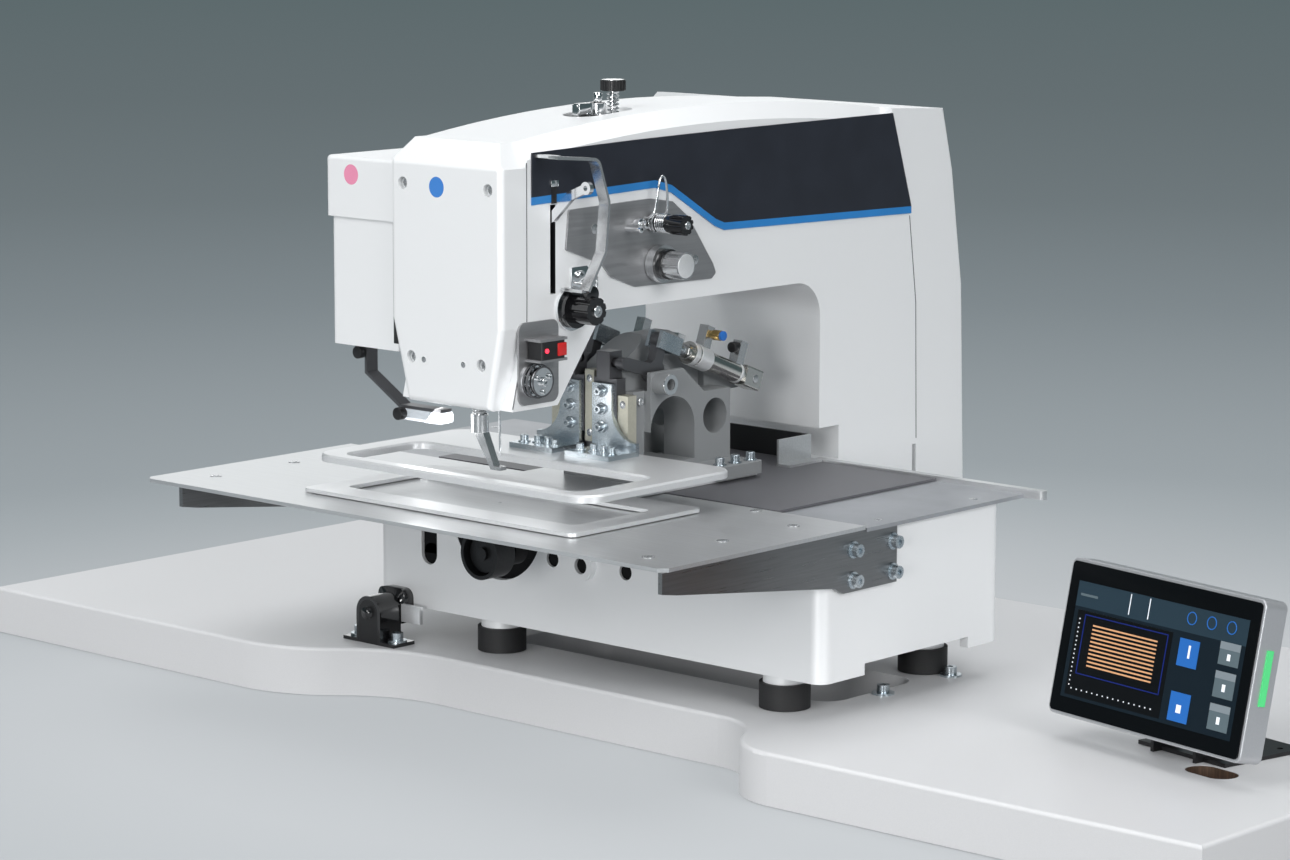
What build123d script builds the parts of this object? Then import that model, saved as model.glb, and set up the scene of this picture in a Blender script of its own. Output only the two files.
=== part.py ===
from build123d import *
from math import atan2, cos, degrees, hypot, radians, sin
import os

# Pattern sewing machine on its table board: +Z up, operator at -Y, arm along Y.
# The origin is on the floor plane of the board, at the middle of the whole part's footprint.

# Fits and cuts
running = 0.05
gap = 0.4
overrun = 5.0

# Table board
board_width = 1276.0
board_depth = 565.0
board_thickness = 40.0
board_edge_radius = 3.0
recess_depth = 65.0
recess_left = -314.0
recess_left_run = 165.0
recess_right = 258.0
recess_right_run = 103.0
cutout_margin = 10.0
cutout_radius = 20.0
cable_hole_length = 44.0
cable_hole_width = 26.0
cable_hole_across = 48.0
cable_hole_back = 25.0

# Work plates
plate_reach = 87.0
work_height = 146.0
plate_thickness = 3.0
plate_left_over = 79.0
plate_right_over = 5.0
plate_rear = -96.0
plate_corner = 6.0
cover_step = 2.0
cover_inner = 100.0
cover_front = -94.0
cover_rear = 105.0
cover_left_width = 150.0
strip_left = 17.0
strip_right = 252.0
strip_depth = 8.0
strip_height = 7.0
throat_radius = 17.0
throat_hole_radius = 1.6

# Bed and pedestal
bed_left = -251.0
bed_width = 480.0
bed_front = -141.0
bed_depth = 224.0
bed_wall = 8.0
bed_corner = 11.0
pedestal_left = -198.0
pedestal_inset = 5.0
bed_notch_front = -89.0
bed_notch_length = 130.0
bed_notch_height = 9.0
hook_opening_x = -112.0
hook_opening_z = 154.0
hook_opening_radius = 50.0
side_slot_x = -190.0
side_slot_z = 133.0
side_slot_length = 54.0
side_slot_width = 18.0
front_hole_z = 129.0
front_hole_xs = (-50.0, 29.0)
front_hole_radius = 6.5
front_boss_x = -14.0
front_boss_radius = 12.0
front_boss_length = 6.0

# Feet
foot_radius = 20.0
foot_height = 20.0
foot_boss_radius = 17.0
foot_boss_height = 8.0
foot_left_inset = 122.0
foot_right_inset = 55.0
foot_front_inset = 23.0
foot_rear_inset = 29.0

# Tilting hinges
hinge_x = -225.0
hinge_height = 26.0
hinge_pin_radius = 5.0
strap_radius = 14.0
strap_sheet = 3.0
strap_width = 24.0
strap_foot = 60.0
lug_thickness = 10.0
lug_width = 32.0
lug_below = 12.0
lug_above = 34.0
hinge_play = 3.0

# Screws
washer_radius = 9.0
washer_thickness = 1.6
screw_head_radius = 5.0
screw_head_height = 6.0
screw_socket_radius = 2.6
screw_socket_depth = 3.0
board_screw_inset = 26.0
board_screw_ys = (-33.0, 53.0)

# Arm, head and column
arm_right = 7.0
arm_width = 120.0
column_width = 196.0
head_front = -257.0
seam_y = -229.0
seam_low_y = -245.0
seam_bend_z = 330.0
head_bottom_z = 266.0
head_back_y = -195.0
arm_under_z = 335.0
arm_under_y = -143.0
column_front = 124.0
column_corner = 30.0
column_foot_z = 210.0
column_undercut = 26.0
arm_front_top_z = 471.0
arm_crest_y = 90.0
arm_crest_rise = 14.0
arm_rear_y = 217.0
arm_rear_rise = 2.0
column_seam_ys = (243.0, 253.0, 256.0)
column_seam_zs = (381.0, 305.0)
top_bevel = 13.0

# Rear cover
rear_ys = (290.0, 304.0, 319.5, 326.0)
rear_zs = (469.0, 416.0, 315.0, 148.0)
rear_bottom_z = 110.0
rear_edge_radius = 4.0

# Face cover
face_top_step = 14.0
face_side_step = 14.0
face_shoulder_drop = 19.0
face_low_left = 17.0
face_low_right = 13.0
face_edge_radius = 5.0
face_screw_radius = 4.5
face_screw_recess = 3.0
face_screw_inset = 14.0
face_screw_top_z = 436.0
face_screw_low_z = 301.0
face_screw_low_inset = 22.0
sight_radius = 8.0
sight_depth = 2.5
sight_inset = 51.0
sight_z = 435.0

# Drive box at the head's left
drive_width = 75.0
drive_front = -249.0
drive_depth = 95.0
drive_bottom_z = 302.0
drive_split_z = 404.0
drive_top_z = 452.0
drive_cap_lip = 3.0
drive_edge_radius = 4.0
drive_sight_inset = 26.0
drive_sight_z = 438.0

# Side panel and stripe: shares of the panel's length and height
side_panel_start = -224.0
side_panel_end = 244.0
side_panel_low_z = 388.0
side_panel_drop = 2.0
side_panel_thickness = 1.2
side_panel_top_shares = ((0, 0.93), (0.25, 0.965), (0.5, 0.985), (0.943, 1))
side_panel_low_shares = ((1, 0), (0.479, 0.06), (0.455, 0.11), (0.342, 0.49), (0.3, 0.555), (0, 0.51))
stripe_width = 6.0

# Tension plate: shares of its width and height
tension_left = -187.0
tension_width = 176.0
tension_bottom_z = 349.0
tension_height = 70.0
tension_thickness = 2.0
tension_shares = (
    (0, 0.53), (0.02, 0.97), (0.55, 1), (0.7, 0.94), (0.81, 0.74), (0.98, 0.17), (1, 0.06),
    (0.97, 0), (0.45, 0.02), (0.29, 0.17), (0.23, 0.33),
)
tension_corner = 4.0

# Thread knobs on the arm's right side
knob_shaft_radius = 3.0
knob_seat_depth = 12.0
main_knob_y = -82.0
main_knob_z = 367.0
main_knob_radius = 11.0
main_knob_length = 22.0
main_disc_radius = 15.0
main_disc_length = 8.0
pre_knob_y = -88.0
pre_knob_z = 400.0
pre_knob_radius = 8.0
pre_knob_length = 14.0
pre_disc_radius = 7.0
pre_post_length = 22.0
check_knob_y = -180.0
check_knob_z = 340.0
check_knob_radius = 11.0
check_knob_length = 20.0
check_disc_radius = 15.0
check_disc_length = 7.0
knob_flute_count = 10
knob_flute_radius = 1.2

# Thread take-up lever and its guard
takeup_y = -200.0
takeup_pivot_depth = 27.0
takeup_pivot_z = 398.0
takeup_slot_width = 6.0
takeup_slot_depth = 36.0
takeup_slot_low_z = 353.0
takeup_slot_high_z = 422.0
takeup_pin_radius = 2.5
takeup_pin_length = 14.0
takeup_thickness = 4.0
takeup_root_z = 412.0
takeup_bend_x = 26.0
takeup_bend_z = 430.0
takeup_eye_x = 43.0
takeup_eye_z = 437.0
takeup_eye_radius = 5.0
takeup_eye_hole = 2.0
takeup_arm_width = 7.0
guard_offset = 18.0
guard_width = 10.0
guard_sheet = 2.4
guard_ys = (-224.0, -178.0, -166.0, -170.0, -189.0)
guard_zs = (461.0, 457.0, 423.0, 385.0, 356.0)
guard_bend = 8.0
guard_tab = 12.0

# Thread monitor below the take-up
monitor_y = -218.0
monitor_z = 302.0
monitor_width = 44.0
monitor_height = 64.0
monitor_sheet = 2.0
monitor_corner = 7.0
sensor_width = 30.0
sensor_height = 14.0
sensor_depth = 16.0
sensor_z = 313.0
thread_disc_radius = 13.0
thread_disc_depth = 12.0
thread_disc_z = 289.0
thread_disc_y = -226.0

# Lamp under the head's left corner
lamp_bracket_width = 12.0
lamp_sheet = 2.5
lamp_y = -240.0
lamp_inset = 28.0
lamp_bend_z = 280.0
lamp_reach = 38.0
lamp_low_z = 257.0
lamp_length = 46.0
lamp_height = 9.0
lamp_depth = 14.0

# Bobbin winder on the arm's top
winder_x = -45.0
winder_y = -93.0
winder_length = 64.0
winder_width = 34.0
winder_sink = 1.0
winder_base_height = 8.0
winder_post_radius = 6.0
winder_post_height = 22.0
winder_spindle_radius = 3.0
winder_spindle_offset = 18.0
winder_spindle_height = 30.0
winder_disc_radius = 12.0
winder_disc_height = 2.5
winder_nut_radius = 9.0
winder_nut_height = 9.0

# Needle bar, needle and presser foot
needle_x = -38.0
needle_y = -213.0
needle_tip_z = 222.0
needle_radius = 0.9
needle_point = 5.0
needle_bar_radius = 4.0
needle_bar_bottom_z = 262.0
needle_bar_length = 120.0
needle_bore_length = 175.0
presser_offset = 22.0
presser_bar_radius = 4.0
presser_bar_length = 130.0
presser_block_radius = 7.0
presser_block_height = 14.0
presser_block_z = 240.0
foot_tip_z = 212.0
foot_sheet = 3.0
foot_blade_width = 7.0
foot_hole_radius = 2.2

# Rotary hook under the needle
hook_radius = 20.0
hook_length = 20.0
hook_wall = 3.0
hook_z = 148.0
hook_shaft_radius = 5.0
hook_clear = 4.0
hook_bracket_depth = 14.0
hook_bracket_low_z = 122.0
hook_bracket_half = 26.0
hook_bracket_root_x = -112.0
bobbin_radius = 15.0
bobbin_length = 11.0

# Plate brackets: shares of the bracket's length and height
bracket_length = 270.0
bracket_height = 46.0
bracket_sheet = 4.0
bracket_shares = ((0, 1), (0, 0.66), (0.06, 0.6), (0.72, 0.12), (0.76, 0), (1, 0))
bracket_screw_ys = (-110.0, -62.0)
bracket_screw_zs = (146.0, 169.5)
left_bracket_gap = 37.0

# Clamp drive, X carriage
clamp_x = -40.0
x_travel = 95.0
slide_plate_half = 186.0
slide_plate_thickness = 2.0
guard_sheet_x = 13.0
guard_sheet_start = 62.0
guard_sheet_length = 42.0
guard_sheet_height = 22.0
guard_sheet_foot = 14.0
guard_sheet_back = 110.0

# Lower clamp plate and upper clamp frame
lower_half = 147.0
lower_front = -285.0
lower_rear = -138.0
lower_thickness = 3.0
lower_corner = 6.0
lower_tongue_half = 70.0
window_half = 124.0
window_front = -259.0
window_rear = -172.0
frame_half = 150.0
frame_front = -272.0
frame_rear = -100.0
frame_thickness = 6.0
frame_corner = 20.0
frame_window_half = 128.0
frame_window_corner = 12.0
frame_bevel = 1.5
clamp_lift = 20.0

# Clamp arch
arch_half = 45.0
arch_base_half = 78.0
arch_base_front = -38.0
arch_base_rear = 17.0
arch_base_thickness = 10.0
arch_leg_front = -32.0
arch_leg_rear = 12.0
arch_front = -98.0
arch_front_wall = 13.0
arch_front_half = 38.0
arch_sill = 14.0
arch_front_top_z = 279.0
crown_half = 17.0
crown_front = -56.0
crown_rear = -22.0
crown_top_z = 304.0
crown_rear_z = 262.0
crown_shoulder = 11.0
cheek_top_z = 279.0
cheek_top_rear = -46.0
cheek_notch_y = -20.0
cheek_rear_z = 257.0
arch_tunnel = 12.0
arch_web = 14.0
arch_window_z = 231.0
arch_hole_radius = 14.5
arch_hole_y = -7.0
arch_hole_z = 236.0
arch_ear_reach = 9.0
arch_ear_inner = 15.0
arch_ear_width = 8.0
arch_edge_radius = 2.0
lever_slot_inner = 28.0
lever_slot_outer = 41.0
lever_slot_z = 264.0
bush_y = -76.0
bush_z = 270.0
bush_radius = 8.5
bush_hole = 4.6
bush_length = 13.0

# Guide rails, slide blocks and clamp brackets
rail_half = 5.0
rail_width = 11.0
rail_depth = 10.0
rail_bottom_z = 222.0
rail_top_z = 280.0
rail_outer_top_z = 262.0
block_outer = 30.0
block_bottom_z = 230.0
block_top_z = 275.0
fork_inner = 12.0
fork_outer = 26.0
fork_above = 9.0
clamp_sheet = 4.0
clamp_flange = 36.0
clamp_inner = 7.0
clamp_top_half = 21.0
clamp_top_z = 271.0
clamp_waist_z = 252.0
clamp_flare_z = 226.0
clamp_outer = 54.0

# Lift levers and their shaft
shaft_y = -71.0
shaft_z = 278.0
shaft_radius = 6.0
lever_offset = 34.5
lever_thickness = 8.0
lever_half_width = 5.0
lever_boss_radius = 9.5
lever_front_reach = 35.0
lever_front_rise = 10.0
lever_top_back = 8.0
lever_top_rise = 24.0
lever_eye_radius = 7.0
roller_radius = 3.0
roller_inner = 13.0
roller_play = 0.6
roller_run = 4.0

# Air cylinders
cylinder_y = 46.0
cylinder_z = 260.0
cylinder_radius = 8.0
cylinder_start = 12.0
cylinder_end = 56.0
cylinder_block = 17.0
cylinder_block_past = 8.0
cylinder_block_edge = 1.5
cylinder_nose_radius = 9.5
cylinder_nose_end = 80.0
cylinder_neck_radius = 7.0
cylinder_neck = 5.0
cylinder_pin_radius = 4.0
rod_radius = 4.0
rod_start = 38.0
rod_well = 34.0
clevis_start = 97.0
clevis_slot_start = 102.0
clevis_past = 7.0
clevis_width = 15.0
clevis_height = 14.0
clevis_pin_radius = 3.0
pivot_play = 1.1
fitting_size = 9.0
fitting_height = 22.0
fitting_rear_reach = 19.0
fitting_front_reach = 64.0

# Control panel
panel_inset = 159.0
panel_y = -82.0
panel_rise = 20.0
panel_yaw = -11.8
panel_lean = 11.6
panel_width = 200.0
panel_height = 117.0
panel_depth = 22.0
panel_corner = 6.0
panel_edge_radius = 3.0
screen_margin = 2.5
screen_thickness = 1.0
light_height = 40.0
light_rise = 62.0
light_depth = 6.0
light_proud = 1.2
panel_lug_half = 20.0
panel_lug_height = 16.0
panel_pivot_rise = 52.0
panel_pivot_back = 36.0
panel_pin_radius = 4.0
stand_sheet = 3.0
stand_half = 45.0
stand_front = 41.0
stand_rear = 122.0
stand_ear_width = 26.0
stand_screw_back = 107.0
stand_screw_offset = 35.0

# Places that follow from the values above
total_depth = board_depth + plate_reach
board_front = plate_reach - total_depth / 2
board_rear = total_depth / 2
plate_front = -total_depth / 2
plate_top = board_thickness + work_height
bed_top = plate_top - plate_thickness
cover_seat = bed_top - cover_step
cover_top = cover_seat + plate_thickness
foot_z = board_thickness + gap
foot_left_x = bed_left + foot_left_inset
foot_right_x = bed_left + bed_width - foot_right_inset
foot_front_y = bed_front + foot_front_inset
foot_rear_y = bed_front + bed_depth - foot_rear_inset
foot_spots = [(x, y) for x in (foot_left_x, foot_right_x) for y in (foot_front_y, foot_rear_y)]
cutout_x = (foot_left_x + foot_right_x) / 2
cutout_y = (foot_front_y + foot_rear_y) / 2
cutout_width = foot_right_x - foot_left_x + 2 * foot_radius
cutout_depth = foot_rear_y - foot_front_y - 2 * (foot_radius + cutout_margin)
bed_bottom = foot_z + foot_height + foot_boss_height
bed_right = bed_left + bed_width
bed_rear = bed_front + bed_depth
hinge_z = board_thickness + hinge_height
arm_left = arm_right - arm_width
column_left = arm_right - column_width
arm_crest_z = arm_front_top_z + arm_crest_rise
arm_rear_z = arm_front_top_z + arm_rear_rise
face_shoulder_z = arm_front_top_z - face_shoulder_drop
side_panel_top_z = arm_front_top_z - side_panel_drop
winder_seat_z = arm_front_top_z - winder_sink
drive_left = arm_left - drive_width
drive_sight_x = drive_left + drive_sight_inset
lamp_left = drive_left + lamp_inset
lamp_low_x = lamp_left + lamp_reach
sight_x = arm_left + sight_inset
face_screws = [
    (arm_left + face_screw_inset, face_screw_top_z),
    (arm_right - face_screw_inset, face_screw_top_z),
    (arm_left + face_screw_low_inset, face_screw_low_z),
    (arm_right - face_screw_low_inset, face_screw_low_z),
]
board_screw_x = bed_right - board_screw_inset
plate_left = bed_left - plate_left_over
plate_right = bed_right + plate_right_over
cover_left_inner = plate_left + cover_left_width
slide_plate_z = cover_top + gap
slide_plate_top = slide_plate_z + slide_plate_thickness
lower_z = max(slide_plate_top, plate_top) + gap
lower_top = lower_z + lower_thickness
frame_z = lower_top + clamp_lift
frame_top = frame_z + frame_thickness
panel_x = board_width / 2 - panel_inset
panel_along = Vector(cos(radians(panel_yaw)), sin(radians(panel_yaw)), 0)
panel_level = Vector(sin(radians(panel_yaw)), -cos(radians(panel_yaw)), 0)
cable_hole_place = (
    Vector(panel_x, panel_y, 0) + panel_along * cable_hole_across - panel_level * cable_hole_back
)
takeup_pivot_x = arm_right - takeup_pivot_depth
lever_inner = lever_offset - lever_thickness / 2
lever_outer = lever_offset + lever_thickness / 2
roller_y = shaft_y - lever_front_reach
roller_z = shaft_z + lever_front_rise
clevis_y = shaft_y + lever_top_back
clevis_z = shaft_z + lever_top_rise
cylinder_length = hypot(cylinder_y - clevis_y, clevis_z - cylinder_z)
cylinder_tilt = degrees(atan2(clevis_z - cylinder_z, cylinder_y - clevis_y))


def scaled(shares, start, size):
    """Outline points from shares of a width and a height."""
    return [(start[0] + a * size[0], start[1] + b * size[1]) for a, b in shares]


def side_plane(x):
    """Plane across the arm at x, drawn in Y and Z, facing +X."""
    return Plane.YZ.offset(x)


def front_plane(y):
    """Plane across the bed at y, drawn in X and Z, facing -Y."""
    return Plane.XZ.offset(-y)


def finish(piece, name):
    """Label a finished piece and write its STEP file."""
    piece.part.label = name
    export_step(piece.part, f"parts/{name}.step")


os.makedirs("parts", exist_ok=True)

# Table board: curved recess at the operator's side, bed cut-out and cable hole
with BuildPart() as table_top:
    with BuildSketch():
        with BuildLine():
            run_in = Line((-board_width / 2, board_front), (recess_left, board_front))
            left_end = (recess_left + recess_left_run, board_front + recess_depth)
            left_mid = ((recess_left + left_end[0]) / 2, (board_front + left_end[1]) / 2)
            curve_a = TangentArc(run_in @ 1, left_mid, tangent=run_in % 1)
            curve_b = TangentArc(curve_a @ 1, left_end, tangent=curve_a % 1)
            right_start = (recess_right - recess_right_run, board_front + recess_depth)
            inner = Line(curve_b @ 1, right_start)
            right_mid = ((recess_right + right_start[0]) / 2, (board_front + right_start[1]) / 2)
            curve_c = TangentArc(inner @ 1, right_mid, tangent=inner % 1)
            curve_d = TangentArc(curve_c @ 1, (recess_right, board_front), tangent=curve_c % 1)
            Polyline(
                curve_d @ 1,
                (board_width / 2, board_front),
                (board_width / 2, board_rear),
                (-board_width / 2, board_rear),
                run_in @ 0,
            )
        make_face()
    extrude(amount=board_thickness)
    board_rim = table_top.faces().sort_by(Axis.Z)[-1].outer_wire().edges()
    fillet(board_rim, radius=board_edge_radius)
    with BuildSketch(Plane.XY.offset(board_thickness)):
        with Locations((cutout_x, cutout_y)):
            RectangleRounded(cutout_width, cutout_depth, cutout_radius)
        with Locations((cable_hole_place.X, cable_hole_place.Y)):
            SlotOverall(cable_hole_length, cable_hole_width, rotation=panel_yaw)
    extrude(amount=-board_thickness, mode=Mode.SUBTRACT)
finish(table_top, "table_top")

# Hinge straps, bushes, lugs and pins: one set in front of the bed, one behind it
strap_fronts = (
    bed_front - lug_thickness - hinge_play,
    bed_rear + lug_thickness + hinge_play + strap_width,
)
with BuildPart() as hinge_straps:
    for strap_rear in strap_fronts:
        with BuildSketch(front_plane(strap_rear)):
            with Locations((hinge_x, hinge_z)):
                Circle(strap_radius)
            with Locations((hinge_x, (hinge_z + board_thickness) / 2)):
                Rectangle(2 * strap_radius, hinge_height)
            with Locations((hinge_x, board_thickness + strap_sheet / 2)):
                Rectangle(strap_foot, strap_sheet)
            with Locations((hinge_x, hinge_z)):
                Circle(strap_radius - strap_sheet, mode=Mode.SUBTRACT)
            with Locations((hinge_x, (hinge_z + board_thickness) / 2)):
                Rectangle(2 * (strap_radius - strap_sheet), hinge_height, mode=Mode.SUBTRACT)
        extrude(amount=strap_width)
finish(hinge_straps, "hinge_straps")

with BuildPart() as hinge_bushes:
    for strap_rear in strap_fronts:
        with BuildSketch(front_plane(strap_rear)):
            with Locations((hinge_x, hinge_z)):
                Circle(strap_radius - strap_sheet)
            with Locations((hinge_x, (hinge_z + board_thickness) / 2)):
                Rectangle(2 * (strap_radius - strap_sheet), hinge_height)
            with Locations((hinge_x, hinge_z)):
                Circle(hinge_pin_radius + running, mode=Mode.SUBTRACT)
        extrude(amount=strap_width)
finish(hinge_bushes, "hinge_bushes")

with BuildPart() as hinge_lugs:
    lug_height = lug_below + lug_above
    for lug_front in (bed_front, bed_rear + lug_thickness):
        with BuildSketch(front_plane(lug_front)):
            with Locations((hinge_x, hinge_z + (lug_above - lug_below) / 2)):
                RectangleRounded(lug_width, lug_height, hinge_pin_radius)
        extrude(amount=lug_thickness)
    pin_length = lug_thickness + 2 * hinge_play + strap_width
    with BuildSketch(front_plane(bed_front - lug_thickness)):
        with Locations((hinge_x, hinge_z)):
            Circle(hinge_pin_radius)
    extrude(amount=pin_length - lug_thickness)
    with BuildSketch(front_plane(bed_rear + lug_thickness)):
        with Locations((hinge_x, hinge_z)):
            Circle(hinge_pin_radius)
    extrude(amount=lug_thickness - pin_length)
finish(hinge_lugs, "hinge_lugs")

# Washered cap screws on the board and on the strap feet
screw_places = [(board_screw_x, y, board_thickness) for y in board_screw_ys]
strap_screw_offset = (strap_radius + strap_foot / 2) / 2
for strap_rear in strap_fronts:
    for side in (-1, 1):
        strap_screw_x = hinge_x + side * strap_screw_offset
        screw_places.append((strap_screw_x, strap_rear - strap_width / 2, board_thickness + strap_sheet))
with BuildPart() as board_screws:
    for x, y, z in screw_places:
        wide = washer_radius if z == board_thickness else (strap_foot / 2 - strap_radius) / 2
        with BuildSketch(Plane((x, y, z))):
            Circle(wide)
        extrude(amount=washer_thickness)
        with BuildSketch(Plane((x, y, z + washer_thickness))):
            Circle(screw_head_radius)
        extrude(amount=screw_head_height)
        with BuildSketch(Plane((x, y, z + washer_thickness + screw_head_height))):
            RegularPolygon(screw_socket_radius, 6)
        extrude(amount=-screw_socket_depth, mode=Mode.SUBTRACT)
finish(board_screws, "board_screws")

# Base casting: bed box and column pedestal, open underneath, with foot pillars
with BuildPart() as base_casting:
    bed_centre = (bed_left + bed_width / 2, bed_front + bed_depth / 2)
    pedestal_depth = column_seam_ys[2] - pedestal_inset - bed_rear
    pedestal_centre = ((pedestal_left + arm_right) / 2, bed_rear + pedestal_depth / 2)
    pedestal_width = arm_right - pedestal_left
    with BuildSketch(Plane.XY.offset(bed_bottom)):
        with Locations(bed_centre):
            RectangleRounded(bed_width, bed_depth, bed_corner)
        with Locations((pedestal_centre[0], pedestal_centre[1] - bed_wall)):
            Rectangle(pedestal_width, pedestal_depth + 2 * bed_wall)
    extrude(amount=cover_seat - bed_bottom)
    with BuildSketch(Plane.XY.offset(bed_bottom)):
        with Locations(bed_centre):
            RectangleRounded(bed_width - 2 * bed_wall, bed_depth - 2 * bed_wall, bed_corner - bed_wall)
        with Locations(pedestal_centre):
            Rectangle(pedestal_width - 2 * bed_wall, pedestal_depth - 2 * bed_wall)
    extrude(amount=cover_seat - bed_bottom - bed_wall, mode=Mode.SUBTRACT)
    front_rib = cover_front - bed_front
    with BuildSketch(Plane.XY.offset(cover_seat)):
        with Locations((bed_centre[0], bed_front + front_rib / 2)):
            Rectangle(bed_width - 2 * bed_corner, front_rib)
    extrude(amount=cover_step)
    with BuildSketch(Plane.XY.offset(bed_bottom - foot_boss_height)):
        with Locations(*foot_spots):
            Circle(foot_boss_radius)
    extrude(amount=foot_boss_height + cover_seat - bed_bottom - bed_wall / 2)
    with BuildSketch(front_plane(bed_front - front_boss_length)):
        with Locations((front_boss_x, front_hole_z)):
            Circle(front_boss_radius)
    extrude(amount=-front_boss_length - bed_wall / 2)
    with BuildSketch(front_plane(bed_front - front_boss_length - overrun)):
        with Locations((hook_opening_x, hook_opening_z)):
            Circle(hook_opening_radius)
        opening_roof = cover_seat - 2 * bed_wall
        with Locations((hook_opening_x, opening_roof - hook_opening_radius)):
            Rectangle(2 * hook_opening_radius, 2 * hook_opening_radius, mode=Mode.INTERSECT)
        with Locations((side_slot_x, side_slot_z)):
            SlotOverall(side_slot_length, side_slot_width, rotation=90)
        with Locations(*[(x, front_hole_z) for x in (*front_hole_xs, front_boss_x)]):
            Circle(front_hole_radius)
    extrude(amount=-bed_wall - front_boss_length - 2 * overrun, mode=Mode.SUBTRACT)
    with BuildSketch(side_plane(bed_right - bed_wall - overrun)):
        with Locations((bed_notch_front + bed_notch_length / 2, bed_bottom)):
            Rectangle(bed_notch_length, 2 * bed_notch_height)
    extrude(amount=bed_wall + 2 * overrun, mode=Mode.SUBTRACT)
finish(base_casting, "base_casting")

with BuildPart() as rubber_feet:
    with BuildSketch(Plane.XY.offset(foot_z)):
        with Locations(*foot_spots):
            Circle(foot_radius)
    extrude(amount=foot_height)
finish(rubber_feet, "rubber_feet")

# Arm casting: head, arm and column from one side profile, widened to the left at the column
arm_top_arc = (
    (seam_y, arm_front_top_z),
    (arm_crest_y, arm_crest_z),
    (arm_rear_y, arm_rear_z),
)
column_seam = [
    (arm_rear_y, arm_rear_z),
    (column_seam_ys[0], column_seam_zs[0]),
    (column_seam_ys[1], column_seam_zs[1]),
]
column_back = (column_seam_ys[2], cover_seat)
undercut_back = column_front + column_undercut
with BuildPart() as arm_casting:
    with BuildSketch(side_plane(arm_left)):
        with BuildLine():
            ThreePointArc(*arm_top_arc)
            Polyline(
                *column_seam,
                column_back,
                (undercut_back, cover_seat),
                (undercut_back, column_foot_z),
                (column_front, column_foot_z),
                (column_front, arm_under_z),
                (arm_under_y, arm_under_z),
                (head_back_y, head_bottom_z),
                (seam_low_y, head_bottom_z),
                (seam_y, seam_bend_z),
                (seam_y, arm_front_top_z),
            )
        make_face()
        throat_corner = [v for v in vertices() if abs(v.X - column_front) + abs(v.Y - arm_under_z) < running]
        fillet(throat_corner, radius=column_corner)
    extrude(amount=arm_width)
    with BuildSketch(side_plane(arm_left)):
        with BuildLine():
            ThreePointArc(*arm_top_arc)
            Polyline(
                *column_seam,
                column_back,
                (undercut_back, cover_seat),
                (undercut_back, column_foot_z),
                (seam_y, column_foot_z),
                (seam_y, arm_front_top_z),
            )
        make_face()
        with Locations((column_front + arm_width, arm_under_z)):
            Rectangle(2 * arm_width, 2 * arm_under_z, mode=Mode.INTERSECT)
    extrude(amount=-(column_width - arm_width))
    top_edges = arm_casting.edges().filter_by(GeomType.CIRCLE).filter_by(
        lambda e: e.center().Z > side_panel_top_z and e.length > arm_width / 2
    )
    chamfer(top_edges, length=top_bevel)
    with BuildSketch(Plane.XY.offset(head_bottom_z)):
        with Locations((needle_x, needle_y)):
            Circle(needle_bar_radius + running)
        with Locations((needle_x - presser_offset, needle_y)):
            Circle(presser_bar_radius + running)
    extrude(amount=needle_bore_length, mode=Mode.SUBTRACT)
    with BuildSketch(side_plane(arm_right)):
        with Locations((takeup_y, (takeup_slot_low_z + takeup_slot_high_z) / 2)):
            Rectangle(takeup_slot_width, takeup_slot_high_z - takeup_slot_low_z)
    extrude(amount=-takeup_slot_depth, mode=Mode.SUBTRACT)
    with BuildSketch(front_plane(takeup_y - takeup_pin_length / 2)):
        with Locations((takeup_pivot_x, takeup_pivot_z)):
            Circle(takeup_pin_radius + running)
    extrude(amount=-takeup_pin_length, mode=Mode.SUBTRACT)
    with BuildSketch(side_plane(arm_right)):
        for knob_y, knob_z in (
            (main_knob_y, main_knob_z),
            (pre_knob_y, pre_knob_z),
            (check_knob_y, check_knob_z),
        ):
            with Locations((knob_y, knob_z)):
                Circle(knob_shaft_radius + running)
    extrude(amount=-knob_seat_depth - gap, mode=Mode.SUBTRACT)
    with BuildSketch(Plane.XY.offset(winder_seat_z)):
        with Locations((winder_x, winder_y)):
            SlotOverall(winder_length + 2 * gap, winder_width + 2 * gap, rotation=90)
    extrude(amount=arm_crest_z - winder_seat_z + overrun, mode=Mode.SUBTRACT)
finish(arm_casting, "arm_casting")

# Rear cover over the column's back
with BuildPart() as rear_cover:
    with BuildSketch(side_plane(column_left)):
        with BuildLine():
            Polyline(
                *column_seam,
                column_back,
                (column_seam_ys[2], rear_bottom_z),
                (rear_ys[3], rear_bottom_z),
                *reversed(list(zip(rear_ys, rear_zs))),
                (arm_rear_y, arm_rear_z),
            )
        make_face()
    extrude(amount=column_width)
    rear_faces = rear_cover.faces().filter_by(lambda f: f.normal_at().Y > 0.9)
    rear_edges = [e for f in rear_faces for e in f.edges() if not e.is_interior and abs(e.tangent_at().X) < 0.5]
    fillet(rear_edges, radius=rear_edge_radius)
finish(rear_cover, "rear_cover")

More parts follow.
